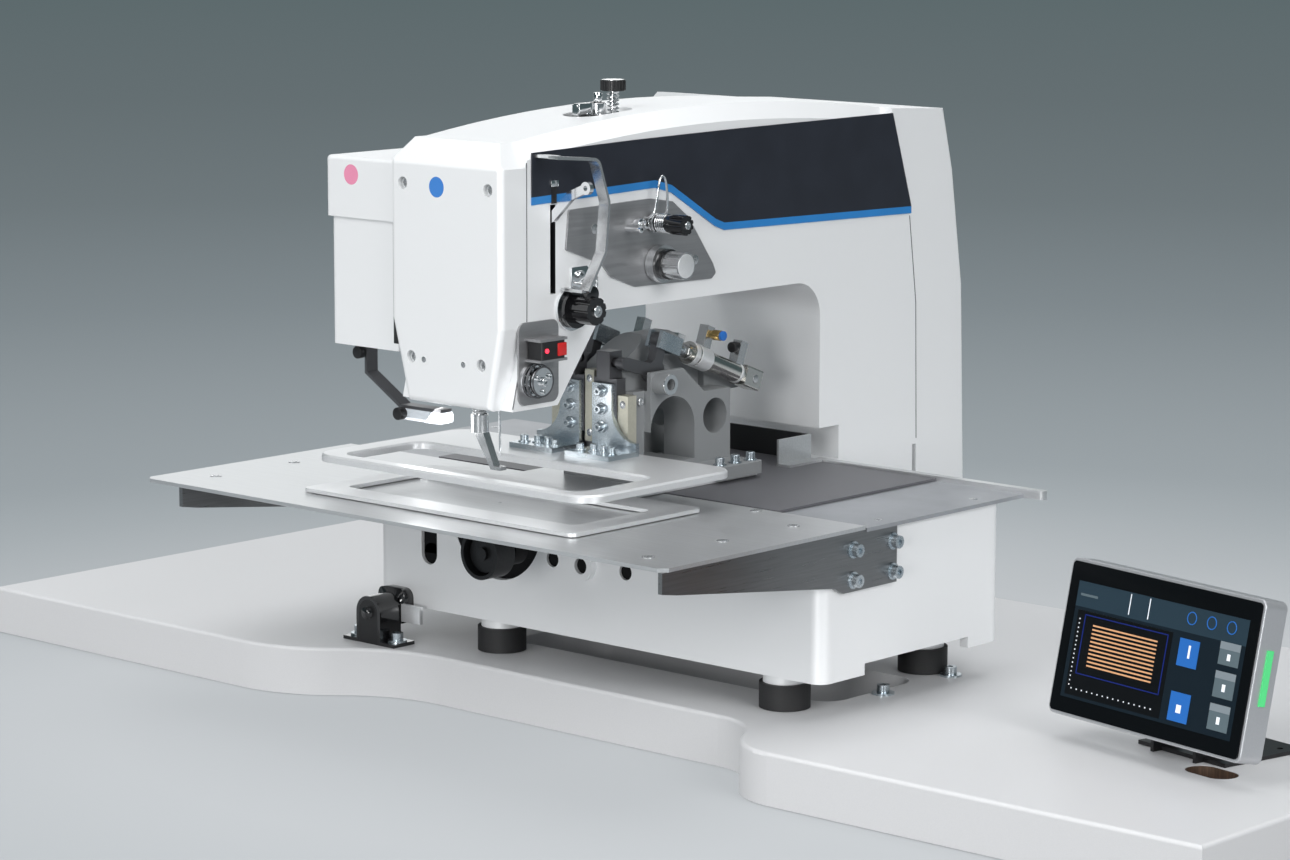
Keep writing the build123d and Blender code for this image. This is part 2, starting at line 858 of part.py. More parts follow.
# Face cover: tapered front shell with recessed screws and a round sight glass
with BuildPart() as face_cover:
    with BuildSketch(side_plane(arm_left)):
        with BuildLine():
            Polyline(
                (head_front, head_bottom_z),
                (head_front, face_shoulder_z),
                (head_front + face_top_step, arm_front_top_z),
                (seam_y, arm_front_top_z),
                (seam_y, seam_bend_z),
                (seam_low_y, head_bottom_z),
                close=True,
            )
        make_face()
    extrude(amount=arm_width)
    with BuildSketch(front_plane(seam_y)):
        with BuildLine():
            Polyline(
                (arm_left, seam_bend_z),
                (arm_left, face_shoulder_z),
                (arm_left + face_side_step, arm_front_top_z),
                (arm_right - face_side_step, arm_front_top_z),
                (arm_right, face_shoulder_z),
                (arm_right, seam_bend_z),
                (arm_right - face_low_right, head_bottom_z),
                (arm_left + face_low_left, head_bottom_z),
                close=True,
            )
        make_face()
    extrude(amount=seam_y - head_front, mode=Mode.INTERSECT)
    fillet(face_cover.faces().sort_by(Axis.Y)[0].edges(), radius=face_edge_radius)
    with BuildSketch(front_plane(head_front)):
        with Locations(*face_screws):
            Circle(face_screw_radius + gap)
    extrude(amount=-2 * face_screw_recess, mode=Mode.SUBTRACT)
    with BuildSketch(front_plane(head_front)):
        with Locations((sight_x, sight_z)):
            Circle(sight_radius)
    extrude(amount=-sight_depth, mode=Mode.SUBTRACT)
finish(face_cover, "face_cover")

with BuildPart() as face_cover_screws:
    with BuildSketch(front_plane(head_front + 2 * face_screw_recess)):
        with Locations(*face_screws):
            Circle(face_screw_radius)
    extrude(amount=face_screw_recess)
    with BuildSketch(front_plane(head_front + face_screw_recess)):
        with Locations(*face_screws):
            RegularPolygon(screw_socket_radius, 6)
    extrude(amount=-face_screw_recess / 2, mode=Mode.SUBTRACT)
finish(face_cover_screws, "face_cover_screws")

with BuildPart() as head_sight_glass:
    with BuildSketch(front_plane(head_front + sight_depth)):
        with Locations((sight_x, sight_z)):
            Circle(sight_radius)
    extrude(amount=sight_depth)
finish(head_sight_glass, "head_sight_glass")

# Drive box with its cap and sight glass, on the head's left side
with BuildPart() as drive_box:
    with BuildSketch(Plane.XY.offset(drive_bottom_z)):
        with Locations(((drive_left + arm_left) / 2, drive_front + drive_depth / 2)):
            Rectangle(arm_left - drive_left, drive_depth)
    extrude(amount=drive_split_z - drive_bottom_z)
    fillet(drive_box.edges().filter_by(Axis.Z).sort_by(Axis.X)[:2], radius=drive_edge_radius)
finish(drive_box, "drive_box")

cap_front = drive_front - drive_cap_lip
with BuildPart() as drive_box_cap:
    with BuildSketch(Plane.XY.offset(drive_split_z)):
        with Locations(((drive_left - drive_cap_lip + arm_left) / 2, drive_front + drive_depth / 2)):
            Rectangle(arm_left - drive_left + drive_cap_lip, drive_depth + 2 * drive_cap_lip)
    extrude(amount=drive_top_z - drive_split_z)
    fillet(drive_box_cap.edges().filter_by(Axis.Z).sort_by(Axis.X)[:2], radius=drive_edge_radius)
    fillet(drive_box_cap.faces().sort_by(Axis.Z)[-1].edges(), radius=drive_cap_lip)
    with BuildSketch(front_plane(cap_front)):
        with Locations((drive_sight_x, drive_sight_z)):
            Circle(sight_radius)
    extrude(amount=-sight_depth, mode=Mode.SUBTRACT)
finish(drive_box_cap, "drive_box_cap")

with BuildPart() as drive_sight_glass:
    with BuildSketch(front_plane(cap_front + sight_depth)):
        with Locations((drive_sight_x, drive_sight_z)):
            Circle(sight_radius)
    extrude(amount=sight_depth)
finish(drive_sight_glass, "drive_sight_glass")

# Side panel with the stripe under it
panel_size = (side_panel_end - side_panel_start, side_panel_top_z - side_panel_low_z)
panel_start = (side_panel_start, side_panel_low_z)
panel_low = scaled(side_panel_low_shares, panel_start, panel_size)
with BuildPart() as arm_side_panel:
    with BuildSketch(side_plane(arm_right)):
        with BuildLine():
            Polyline(*scaled(side_panel_top_shares, panel_start, panel_size), *panel_low, close=True)
        make_face()
    extrude(amount=side_panel_thickness)
finish(arm_side_panel, "arm_side_panel")

with BuildPart() as accent_stripe:
    with BuildSketch(side_plane(arm_right)):
        with BuildLine():
            lowered = [(y, z - stripe_width) for y, z in reversed(panel_low)]
            Polyline(*panel_low, *lowered, close=True)
        make_face()
    extrude(amount=side_panel_thickness)
finish(accent_stripe, "accent_stripe")

# Tension plate with the three knobs' holes
with BuildPart() as tension_plate:
    with BuildSketch(side_plane(arm_right)):
        with BuildLine():
            tension_size = (tension_width, tension_height)
            Polyline(*scaled(tension_shares, (tension_left, tension_bottom_z), tension_size), close=True)
        make_face()
        fillet(vertices(), radius=tension_corner / 2)
        with Locations((main_knob_y, main_knob_z), (pre_knob_y, pre_knob_z)):
            Circle(knob_shaft_radius + gap, mode=Mode.SUBTRACT)
    extrude(amount=tension_thickness)
finish(tension_plate, "tension_plate")


def knob(y, z, seat, disc_radius, disc_length, radius, length):
    """Knob that turns about X: shaft in the arm, disc near the plate and fluted grip."""
    with BuildPart() as turned:
        with BuildSketch(side_plane(arm_right - knob_seat_depth)):
            with Locations((y, z)):
                Circle(knob_shaft_radius)
        extrude(amount=knob_seat_depth + seat + gap)
        with BuildSketch(side_plane(arm_right + seat + gap)):
            with Locations((y, z)):
                Circle(disc_radius)
        extrude(amount=disc_length)
        with BuildSketch(side_plane(arm_right + seat + gap + disc_length)):
            with Locations((y, z)):
                Circle(radius)
                with PolarLocations(radius, knob_flute_count):
                    Circle(knob_flute_radius, mode=Mode.SUBTRACT)
        extrude(amount=length)
    return turned


finish(
    knob(
        main_knob_y, main_knob_z, tension_thickness,
        main_disc_radius, main_disc_length, main_knob_radius, main_knob_length,
    ),
    "main_tension_knob",
)
finish(
    knob(
        pre_knob_y, pre_knob_z, tension_thickness,
        pre_disc_radius, pre_post_length, pre_knob_radius, pre_knob_length,
    ),
    "pretension_knob",
)
finish(
    knob(
        check_knob_y, check_knob_z, 0,
        check_disc_radius, check_disc_length, check_knob_radius, check_knob_length,
    ),
    "check_spring_knob",
)

# Take-up lever: pivoted inside the head, out through the slot to its thread eye
with BuildPart() as takeup_lever:
    with BuildSketch(front_plane(takeup_y + takeup_thickness / 2)):
        with BuildLine():
            Polyline(
                (takeup_pivot_x, takeup_pivot_z),
                (arm_right, takeup_root_z),
                (takeup_bend_x, takeup_bend_z),
                (takeup_eye_x, takeup_eye_z),
            )
        trace(line_width=takeup_arm_width)
        with Locations((takeup_eye_x, takeup_eye_z)):
            Circle(takeup_eye_radius)
            Circle(takeup_eye_hole, mode=Mode.SUBTRACT)
    extrude(amount=takeup_thickness)
    with BuildSketch(front_plane(takeup_y + takeup_pin_length / 2 - gap)):
        with Locations((takeup_pivot_x, takeup_pivot_z)):
            Circle(takeup_pin_radius)
    extrude(amount=takeup_pin_length - 2 * gap)
finish(takeup_lever, "takeup_lever")

# Bent strip that guards the take-up lever, tabbed to the arm at both ends
with BuildPart() as takeup_guard:
    with BuildSketch(side_plane(arm_right + guard_offset)):
        with BuildLine():
            FilletPolyline(*zip(guard_ys, guard_zs), radius=guard_bend)
        trace(line_width=guard_sheet)
    extrude(amount=guard_width)
    for tab_y, tab_z in ((guard_ys[0] + guard_tab / 2, guard_zs[0]), (guard_ys[-1], guard_zs[-1])):
        with BuildSketch(side_plane(arm_right + side_panel_thickness)):
            with Locations((tab_y, tab_z)):
                Rectangle(guard_tab / 2, guard_sheet)
        extrude(amount=guard_offset - side_panel_thickness + guard_width / 2)
finish(takeup_guard, "takeup_guard")

# Thread monitor bracket, sensor and thread disc
with BuildPart() as thread_monitor_bracket:
    with BuildSketch(side_plane(arm_right)):
        with Locations((monitor_y, monitor_z)):
            RectangleRounded(monitor_width, monitor_height, monitor_corner)
    extrude(amount=monitor_sheet)
    with BuildSketch(side_plane(arm_right + monitor_sheet)):
        with Locations((monitor_y, sensor_z + (sensor_height + monitor_sheet) / 2)):
            Rectangle(sensor_width, monitor_sheet)
        with Locations((monitor_y, sensor_z - (sensor_height + monitor_sheet) / 2)):
            Rectangle(sensor_width, monitor_sheet)
    extrude(amount=sensor_depth)
finish(thread_monitor_bracket, "thread_monitor_bracket")

with BuildPart() as thread_sensor:
    with BuildSketch(side_plane(arm_right + monitor_sheet)):
        with Locations((monitor_y, sensor_z)):
            Rectangle(sensor_width - 2 * monitor_sheet, sensor_height)
    extrude(amount=sensor_depth)
    fillet(thread_sensor.edges().filter_by(Axis.Z), radius=monitor_sheet)
finish(thread_sensor, "thread_sensor")

with BuildPart() as thread_clamp_disc:
    with BuildSketch(side_plane(arm_right + monitor_sheet)):
        with Locations((thread_disc_y, thread_disc_z)):
            Circle(thread_disc_radius)
    extrude(amount=thread_disc_depth / 3)
    with BuildSketch(side_plane(arm_right + monitor_sheet + thread_disc_depth / 3)):
        with Locations((thread_disc_y, thread_disc_z)):
            Circle(thread_disc_radius / 2)
    extrude(amount=thread_disc_depth / 3)
    with BuildSketch(side_plane(arm_right + monitor_sheet + 2 * thread_disc_depth / 3)):
        with Locations((thread_disc_y, thread_disc_z)):
            Circle(thread_disc_radius - monitor_sheet)
    extrude(amount=thread_disc_depth / 3)
finish(thread_clamp_disc, "thread_clamp_disc")

# Lamp on a bent bracket under the drive box
with BuildPart() as lamp_bracket:
    with BuildSketch(front_plane(lamp_y + lamp_bracket_width)):
        with BuildLine():
            Polyline(
                (lamp_left - lamp_bracket_width, drive_bottom_z - lamp_sheet / 2),
                (lamp_left, drive_bottom_z - lamp_sheet / 2),
                (lamp_left, lamp_bend_z),
                (lamp_low_x, lamp_low_z),
                (lamp_low_x + lamp_length, lamp_low_z),
            )
        trace(line_width=lamp_sheet)
    extrude(amount=lamp_bracket_width)
finish(lamp_bracket, "lamp_bracket")

with BuildPart() as lamp_head:
    with BuildSketch(front_plane(lamp_y + lamp_depth)):
        with Locations((lamp_low_x + lamp_length / 2, lamp_low_z - (lamp_height + lamp_sheet) / 2)):
            RectangleRounded(lamp_length, lamp_height, lamp_sheet)
    extrude(amount=lamp_depth)
finish(lamp_head, "lamp_head")

# Bobbin winder: base with its post, and the spindle with disc and thumb nut
with BuildPart() as winder_base:
    with BuildSketch(Plane.XY.offset(winder_seat_z)):
        with Locations((winder_x, winder_y)):
            SlotOverall(winder_length, winder_width, rotation=90)
        with Locations((winder_x, winder_y + winder_spindle_offset)):
            Circle(winder_spindle_radius + running, mode=Mode.SUBTRACT)
    extrude(amount=winder_base_height)
    with BuildSketch(Plane.XY.offset(winder_seat_z + winder_base_height)):
        with Locations((winder_x, winder_y)):
            Circle(winder_post_radius)
        with Locations((winder_x, winder_y - winder_spindle_offset)):
            Rectangle(winder_post_radius, 2 * winder_post_radius)
    extrude(amount=winder_post_height - winder_base_height)
finish(winder_base, "winder_base")

with BuildPart() as winder_spindle:
    spindle_spot = (winder_x, winder_y + winder_spindle_offset)
    disc_z = winder_seat_z + winder_base_height + gap
    with BuildSketch(Plane.XY.offset(winder_seat_z + gap)):
        with Locations(spindle_spot):
            Circle(winder_spindle_radius)
    extrude(amount=winder_spindle_height)
    with BuildSketch(Plane.XY.offset(disc_z)):
        with Locations(spindle_spot):
            Circle(winder_disc_radius)
    extrude(amount=winder_disc_height)
    with BuildSketch(Plane.XY.offset(winder_seat_z + gap + winder_spindle_height)):
        with Locations(spindle_spot):
            Circle(winder_nut_radius)
            with PolarLocations(winder_nut_radius, knob_flute_count):
                Circle(knob_flute_radius, mode=Mode.SUBTRACT)
    extrude(amount=winder_nut_height)
finish(winder_spindle, "winder_spindle")

# Needle bar with its needle, and the presser foot
with BuildPart() as needle_bar:
    with BuildSketch(Plane.XY.offset(needle_bar_bottom_z)):
        with Locations((needle_x, needle_y)):
            Circle(needle_bar_radius)
    extrude(amount=needle_bar_length)
    with BuildSketch(Plane.XY.offset(needle_tip_z + needle_point)):
        with Locations((needle_x, needle_y)):
            Circle(needle_radius)
    extrude(amount=needle_bar_bottom_z - needle_tip_z - needle_point)
    with BuildSketch(Plane((needle_x, needle_y, needle_tip_z))):
        Circle(needle_radius / 8)
    with BuildSketch(Plane((needle_x, needle_y, needle_tip_z + needle_point))):
        Circle(needle_radius)
    loft()
finish(needle_bar, "needle_bar")

presser_x = needle_x - presser_offset
with BuildPart() as presser_foot:
    with BuildSketch(Plane.XY.offset(presser_block_z)):
        with Locations((presser_x, needle_y)):
            Circle(presser_bar_radius)
    extrude(amount=presser_bar_length)
    with BuildSketch(Plane.XY.offset(presser_block_z)):
        with Locations((presser_x, needle_y)):
            Circle(presser_block_radius)
    extrude(amount=presser_block_height)
    with BuildSketch(front_plane(needle_y + foot_blade_width / 2)):
        with BuildLine():
            Polyline(
                (presser_x - foot_sheet, presser_block_z),
                (presser_x + presser_block_radius, presser_block_z),
                (needle_x - foot_blade_width / 2, foot_tip_z + foot_sheet),
                (needle_x + foot_blade_width / 2, foot_tip_z + foot_sheet),
                (needle_x + foot_blade_width / 2, foot_tip_z),
                (needle_x - foot_blade_width, foot_tip_z),
                close=True,
            )
        make_face()
    extrude(amount=foot_blade_width)
    with BuildSketch(Plane.XY.offset(foot_tip_z - overrun)):
        with Locations((needle_x, needle_y)):
            Circle(foot_hole_radius)
    extrude(amount=presser_block_z - foot_tip_z, mode=Mode.SUBTRACT)
finish(presser_foot, "presser_foot")

# Front plate, throat plate, side cover plates and rear strip
with BuildPart() as front_plate:
    with BuildSketch(Plane.XY.offset(bed_top)):
        with Locations(((plate_left + plate_right) / 2, (plate_front + plate_rear) / 2)):
            Rectangle(plate_right - plate_left, plate_rear - plate_front)
        chamfer(vertices().group_by(Axis.Y)[0], length=plate_corner)
        with Locations((needle_x, needle_y)):
            Circle(throat_radius + running, mode=Mode.SUBTRACT)
    extrude(amount=plate_thickness)
finish(front_plate, "front_plate")

with BuildPart() as throat_plate:
    with BuildSketch(Plane.XY.offset(bed_top)):
        with Locations((needle_x, needle_y)):
            Circle(throat_radius)
            Circle(throat_hole_radius, mode=Mode.SUBTRACT)
    extrude(amount=plate_thickness)
finish(throat_plate, "throat_plate")

with BuildPart() as side_cover_plates:
    for inner_x, outer_x in ((cover_inner, plate_right), (cover_left_inner, plate_left)):
        with BuildSketch(Plane.XY.offset(cover_seat)):
            with Locations(((inner_x + outer_x) / 2, (cover_front + cover_rear) / 2)):
                Rectangle(abs(outer_x - inner_x), cover_rear - cover_front)
        extrude(amount=plate_thickness)
finish(side_cover_plates, "side_cover_plates")

with BuildPart() as rear_strip:
    with BuildSketch(Plane.XY.offset(cover_seat)):
        with Locations(((strip_left + strip_right) / 2, cover_rear + strip_depth / 2)):
            Rectangle(strip_right - strip_left, strip_depth)
    extrude(amount=strip_height)
    fillet(rear_strip.edges().filter_by(Axis.Z).sort_by(Axis.X)[2:], radius=strip_depth / 3)
finish(rear_strip, "rear_strip")

# Brackets that carry the front plate, with their screws
bracket_start = (plate_front, bed_top - bracket_height)
bracket_points = scaled(bracket_shares, bracket_start, (bracket_length, bracket_height))
bracket_points += [(plate_front + bracket_length, cover_seat), (plate_rear, cover_seat), (plate_rear, bed_top)]
with BuildPart() as plate_bracket_right:
    with BuildSketch(side_plane(bed_right)):
        with BuildLine():
            Polyline(*bracket_points, close=True)
        make_face()
    extrude(amount=bracket_sheet)
finish(plate_bracket_right, "plate_bracket_right")

left_web_x = bed_left - left_bracket_gap
with BuildPart() as plate_bracket_left:
    with BuildSketch(side_plane(left_web_x)):
        with BuildLine():
            Polyline(*bracket_points, close=True)
        make_face()
    extrude(amount=bracket_sheet)
    flange_length = plate_front + bracket_length - bed_front
    flange_run = flange_length - bed_corner
    flange_y = bed_front + bed_corner + flange_run / 2
    with BuildSketch(Plane.XY.offset(cover_seat)):
        with Locations(((left_web_x + bed_left) / 2, flange_y)):
            Rectangle(left_bracket_gap, flange_run)
    extrude(amount=-bracket_sheet)
    with BuildSketch(side_plane(bed_left)):
        with Locations((flange_y, cover_seat - bracket_height / 2)):
            Rectangle(flange_run, bracket_height)
    extrude(amount=-bracket_sheet)
finish(plate_bracket_left, "plate_bracket_left")

with BuildPart() as plate_bracket_screws:
    for face_x, way in ((bed_right + bracket_sheet, 1), (bed_left - bracket_sheet, -1)):
        for y in bracket_screw_ys:
            for z in bracket_screw_zs:
                with BuildSketch(side_plane(face_x)):
                    with Locations((y, z)):
                        Circle(screw_head_radius + washer_thickness)
                extrude(amount=way * washer_thickness)
                with BuildSketch(side_plane(face_x + way * washer_thickness)):
                    with Locations((y, z)):
                        Circle(screw_head_radius)
                extrude(amount=way * screw_head_height)
                with BuildSketch(side_plane(face_x + way * (washer_thickness + screw_head_height))):
                    with Locations((y, z)):
                        RegularPolygon(screw_socket_radius, 6)
                extrude(amount=-way * screw_socket_depth, mode=Mode.SUBTRACT)
finish(plate_bracket_screws, "plate_bracket_screws")

# Hook bracket from the bed's round opening to the throat plate, hook and bobbin case
bracket_face = needle_y + hook_clear
with BuildPart() as hook_bracket:
    with BuildSketch(front_plane(bracket_face + hook_bracket_depth)):
        with Locations((needle_x, (hook_bracket_low_z + bed_top) / 2)):
            Rectangle(2 * hook_bracket_half, bed_top - hook_bracket_low_z)
        with Locations((needle_x, hook_z)):
            Circle(hook_shaft_radius + running, mode=Mode.SUBTRACT)
    extrude(amount=hook_bracket_depth)
    root_top = opening_roof - 2 * bed_wall
    with BuildSketch(front_plane(bed_front + bed_wall)):
        with Locations((hook_bracket_root_x, (hook_bracket_low_z + root_top) / 2)):
            Rectangle(hook_bracket_half, root_top - hook_bracket_low_z)
    extrude(amount=bed_front + bed_wall - bracket_face)
    with BuildSketch(front_plane(bracket_face + hook_bracket_depth)):
        with Locations(((hook_bracket_root_x + needle_x) / 2, (hook_bracket_low_z + root_top) / 2)):
            Rectangle(needle_x - hook_bracket_root_x, root_top - hook_bracket_low_z)
        with Locations((needle_x, hook_z)):
            Circle(hook_shaft_radius + running, mode=Mode.SUBTRACT)
    extrude(amount=hook_bracket_depth)
    with BuildSketch(front_plane(bed_front)):
        with Locations((hook_bracket_root_x, (hook_bracket_low_z + root_top) / 2)):
            Rectangle(2 * hook_opening_radius + 2 * bed_wall, hook_bracket_half)
    extrude(amount=bed_wall)
finish(hook_bracket, "hook_bracket")

hook_back = needle_y - hook_clear
with BuildPart() as rotary_hook:
    with BuildSketch(front_plane(hook_back)):
        with Locations((needle_x, hook_z)):
            Circle(hook_radius)
    extrude(amount=hook_length)
    with BuildSketch(front_plane(hook_back - hook_wall)):
        with Locations((needle_x, hook_z)):
            Circle(hook_radius - hook_wall)
    extrude(amount=hook_length, mode=Mode.SUBTRACT)
    with BuildSketch(front_plane(hook_back)):
        with Locations((needle_x, hook_z)):
            Circle(hook_shaft_radius)
    extrude(amount=-2 * hook_clear - hook_bracket_depth)
finish(rotary_hook, "rotary_hook")

with BuildPart() as bobbin_case:
    with BuildSketch(front_plane(hook_back - hook_wall - gap)):
        with Locations((needle_x, hook_z)):
            Circle(bobbin_radius)
    extrude(amount=bobbin_length)
    with BuildSketch(front_plane(hook_back - hook_wall - gap - bobbin_length)):
        with Locations((needle_x, hook_z)):
            Circle(hook_shaft_radius)
    extrude(amount=hook_wall)
finish(bobbin_case, "bobbin_case")

# X carriage: sliding cover plate and its upright sheet
with BuildPart() as x_cover_plate:
    with BuildSketch(Plane.XY.offset(slide_plate_z)):
        with Locations((clamp_x, (cover_front + cover_rear) / 2)):
            Rectangle(2 * slide_plate_half, cover_rear - cover_front - 2 * gap)
    extrude(amount=slide_plate_thickness)
finish(x_cover_plate, "x_cover_plate")

with BuildPart() as upright_guard:
    guard_rear = guard_sheet_start + guard_sheet_length
    with BuildSketch(Plane.XY.offset(slide_plate_top)):
        with Locations((guard_sheet_x + guard_sheet_foot / 2, guard_sheet_start + guard_sheet_length / 2)):
            Rectangle(guard_sheet_foot, guard_sheet_length)
    extrude(amount=slide_plate_thickness)
    with BuildSketch(Plane.XY.offset(slide_plate_top)):
        with Locations((guard_sheet_x + slide_plate_thickness / 2, guard_sheet_start + guard_sheet_length / 2)):
            Rectangle(slide_plate_thickness, guard_sheet_length)
    extrude(amount=guard_sheet_height)
finish(upright_guard, "upright_guard")

with BuildPart() as back_sheet:
    with BuildSketch(Plane.XY.offset(slide_plate_top)):
        with Locations((guard_sheet_x - guard_sheet_back / 2, guard_rear - slide_plate_thickness / 2)):
            Rectangle(guard_sheet_back, slide_plate_thickness)
    extrude(amount=guard_sheet_height)
finish(back_sheet, "back_sheet")

# Lower clamp plate with its window and the tongue under the arch
with BuildPart() as lower_clamp_plate:
    with BuildSketch(Plane.XY.offset(lower_z)):
        with Locations((clamp_x, (lower_front + lower_rear) / 2)):
            RectangleRounded(2 * lower_half, lower_rear - lower_front, lower_corner)
        with Locations((clamp_x, (lower_rear - lower_corner + arch_base_rear) / 2)):
            Rectangle(2 * lower_tongue_half, arch_base_rear - lower_rear + lower_corner)
        with Locations((clamp_x, (window_front + window_rear) / 2)):
            RectangleRounded(2 * window_half, window_rear - window_front, lower_corner, mode=Mode.SUBTRACT)
    extrude(amount=lower_thickness)
finish(lower_clamp_plate, "lower_clamp_plate")

# Upper clamp frame, held up by the two clamp brackets
with BuildPart() as upper_clamp_frame:
    with BuildSketch(Plane.XY.offset(frame_z)):
        with Locations((clamp_x, (frame_front + frame_rear) / 2)):
            RectangleRounded(2 * frame_half, frame_rear - frame_front, frame_corner)
        with Locations((clamp_x, (window_front + window_rear) / 2)):
            RectangleRounded(
                2 * frame_window_half, window_rear - window_front, frame_window_corner, mode=Mode.SUBTRACT
            )
    extrude(amount=frame_thickness)
    chamfer(upper_clamp_frame.faces().sort_by(Axis.Z)[-1].edges(), length=frame_bevel)
finish(upper_clamp_frame, "upper_clamp_frame")

# Clamp arch: narrow crown met by a rounded front outline, between lower cheeks, windowed and drilled
arch_base_z = lower_top
arch_window_low = arch_base_z + arch_sill
arch_window_front = arch_front + arch_front_wall
arch_window_half = (arch_leg_front - arch_window_front) / 2
arch_window_y = arch_window_front + arch_window_half
with BuildPart() as clamp_arch:
    with BuildSketch(side_plane(clamp_x - crown_half)):
        with BuildLine():
            Polyline(
                (arch_front, arch_base_z),
                (arch_leg_rear, arch_base_z),
                (arch_leg_rear, crown_rear_z),
                (crown_rear, crown_top_z),
                (crown_front, crown_top_z),
                (arch_front, arch_front_top_z),
                close=True,
            )
        make_face()
    extrude(amount=2 * crown_half)
    with BuildSketch(front_plane(arch_leg_rear)):
        with Locations((clamp_x, (arch_base_z + crown_top_z) / 2)):
            Rectangle(2 * crown_half, crown_top_z - arch_base_z)
        fillet(vertices().group_by(Axis.Y)[-1], radius=crown_shoulder)
    extrude(amount=arch_leg_rear - arch_front, mode=Mode.INTERSECT)
    with BuildSketch(side_plane(clamp_x - arch_half)):
        with BuildLine():
            Polyline(
                (arch_front, arch_base_z),
                (arch_leg_rear, arch_base_z),
                (arch_leg_rear, cheek_rear_z),
                (cheek_notch_y, cheek_rear_z),
                (cheek_top_rear, cheek_top_z),
                (arch_front, cheek_top_z),
                close=True,
            )
        make_face()
    extrude(amount=2 * arch_half)
    for side in (-1, 1):
        with BuildSketch(Plane.XY.offset(lever_slot_z)):
            with Locations((
                clamp_x + side * (lever_slot_inner + lever_slot_outer) / 2,
                (arch_front - overrun + cheek_notch_y) / 2,
            )):
                Rectangle(lever_slot_outer - lever_slot_inner, cheek_notch_y - arch_front + overrun)
        extrude(amount=cheek_top_z - lever_slot_z + overrun, mode=Mode.SUBTRACT)
        with BuildSketch(Plane.XY.offset(arch_base_z)):
            with Locations((
                clamp_x + side * (arch_front_half + arch_half + overrun) / 2,
                (arch_front - overrun + arch_window_front) / 2,
            )):
                Rectangle(arch_half + overrun - arch_front_half, arch_front_wall + overrun)
        extrude(amount=cheek_top_z - arch_base_z + overrun, mode=Mode.SUBTRACT)
    with BuildSketch(side_plane(clamp_x - arch_half - overrun)):
        with BuildLine():
            Polyline(
                (arch_window_front, arch_window_z),
                (arch_window_front, arch_window_low),
                (arch_leg_front, arch_window_low),
                (arch_leg_front, arch_window_z),
            )
            ThreePointArc(
                (arch_leg_front, arch_window_z),
                (arch_window_y, arch_window_z + arch_window_half),
                (arch_window_front, arch_window_z),
            )
        make_face()
        with Locations((arch_hole_y, arch_hole_z)):
            Circle(arch_hole_radius)
    extrude(amount=2 * (arch_half + overrun), mode=Mode.SUBTRACT)
    with BuildSketch(Plane.XY.offset(arch_base_z)):
        with Locations((clamp_x, (arch_leg_front - arch_edge_radius + arch_leg_rear + overrun) / 2)):
            Rectangle(2 * arch_tunnel, arch_leg_rear + overrun - arch_leg_front + arch_edge_radius)
    extrude(amount=cheek_rear_z - arch_web - arch_base_z, mode=Mode.SUBTRACT)
    with BuildSketch(Plane.XY.offset(arch_base_z)):
        with Locations((clamp_x, (arch_base_front + arch_base_rear) / 2)):
            RectangleRounded(2 * arch_base_half, arch_base_rear - arch_base_front, lower_corner)
    extrude(amount=arch_base_thickness)
    with BuildSketch(side_plane(clamp_x - lever_slot_inner - overrun)):
        with Locations((shaft_y, shaft_z)):
            Circle(shaft_radius + running)
    extrude(amount=2 * (lever_slot_inner + overrun), mode=Mode.SUBTRACT)
    for side in (-1, 1):
        with BuildSketch(side_plane(clamp_x + side * arch_half)):
            with Locations((bush_y, bush_z)):
                Circle(bush_radius)
                Circle(bush_hole, mode=Mode.SUBTRACT)
        extrude(amount=side * bush_length)
        ear_front = arch_leg_rear - arch_ear_width
        with BuildSketch(side_plane(clamp_x + side * arch_ear_inner)):
            with Locations(((ear_front + cylinder_y) / 2, cylinder_z)):
                Rectangle(cylinder_y - ear_front, 2 * arch_ear_reach)
            with Locations((cylinder_y, cylinder_z)):
                Circle(arch_ear_reach)
        extrude(amount=side * arch_ear_width)
        with BuildSketch(side_plane(clamp_x + side * arch_ear_inner)):
            with Locations((cylinder_y, cylinder_z)):
                Circle(cylinder_pin_radius)
        extrude(amount=side * (lever_offset + cylinder_block / 2 - arch_ear_inner))
finish(clamp_arch, "clamp_arch")

# Guide rails: one strip between the slide blocks and one outside each
rail_outer = block_outer + gap + rail_width / 2
with BuildPart() as guide_rails:
    for rail_x, rail_across, rail_high in (
        (clamp_x, 2 * rail_half, rail_top_z),
        (clamp_x - rail_outer, rail_width, rail_outer_top_z),
        (clamp_x + rail_outer, rail_width, rail_outer_top_z),
    ):
        with BuildSketch(front_plane(arch_front)):
            with Locations((rail_x, (rail_bottom_z + rail_high) / 2)):
                Rectangle(rail_across, rail_high - rail_bottom_z)
        extrude(amount=rail_depth)
finish(guide_rails, "guide_rails")

# Slide blocks between the rails, each with a fork for its lever's roller
block_rear = arch_front - gap
block_front = arch_front - rail_depth - 2 * gap
block_inner = rail_half + gap
fork_front = block_front - clamp_sheet
with BuildPart() as slide_blocks:
    for side in (-1, 1):
        with BuildSketch(front_plane(block_rear)):
            with Locations((clamp_x + side * (block_inner + block_outer) / 2, (block_bottom_z + block_top_z) / 2)):
                Rectangle(block_outer - block_inner, block_top_z - block_bottom_z)
        extrude(amount=block_rear - block_front)
        fork_top = roller_z + fork_above
        with BuildSketch(front_plane(block_rear)):
            with Locations((clamp_x + side * (fork_inner + fork_outer) / 2, (block_top_z + fork_top) / 2)):
                Rectangle(fork_outer - fork_inner, fork_top - block_top_z)
        extrude(amount=block_rear - fork_front)
        with BuildSketch(side_plane(clamp_x + side * (fork_inner - overrun))):
            with Locations((roller_y, roller_z)):
                SlotOverall(2 * roller_radius + roller_run, 2 * (roller_radius + roller_play))
        extrude(amount=side * (fork_outer - fork_inner + 2 * overrun), mode=Mode.SUBTRACT)
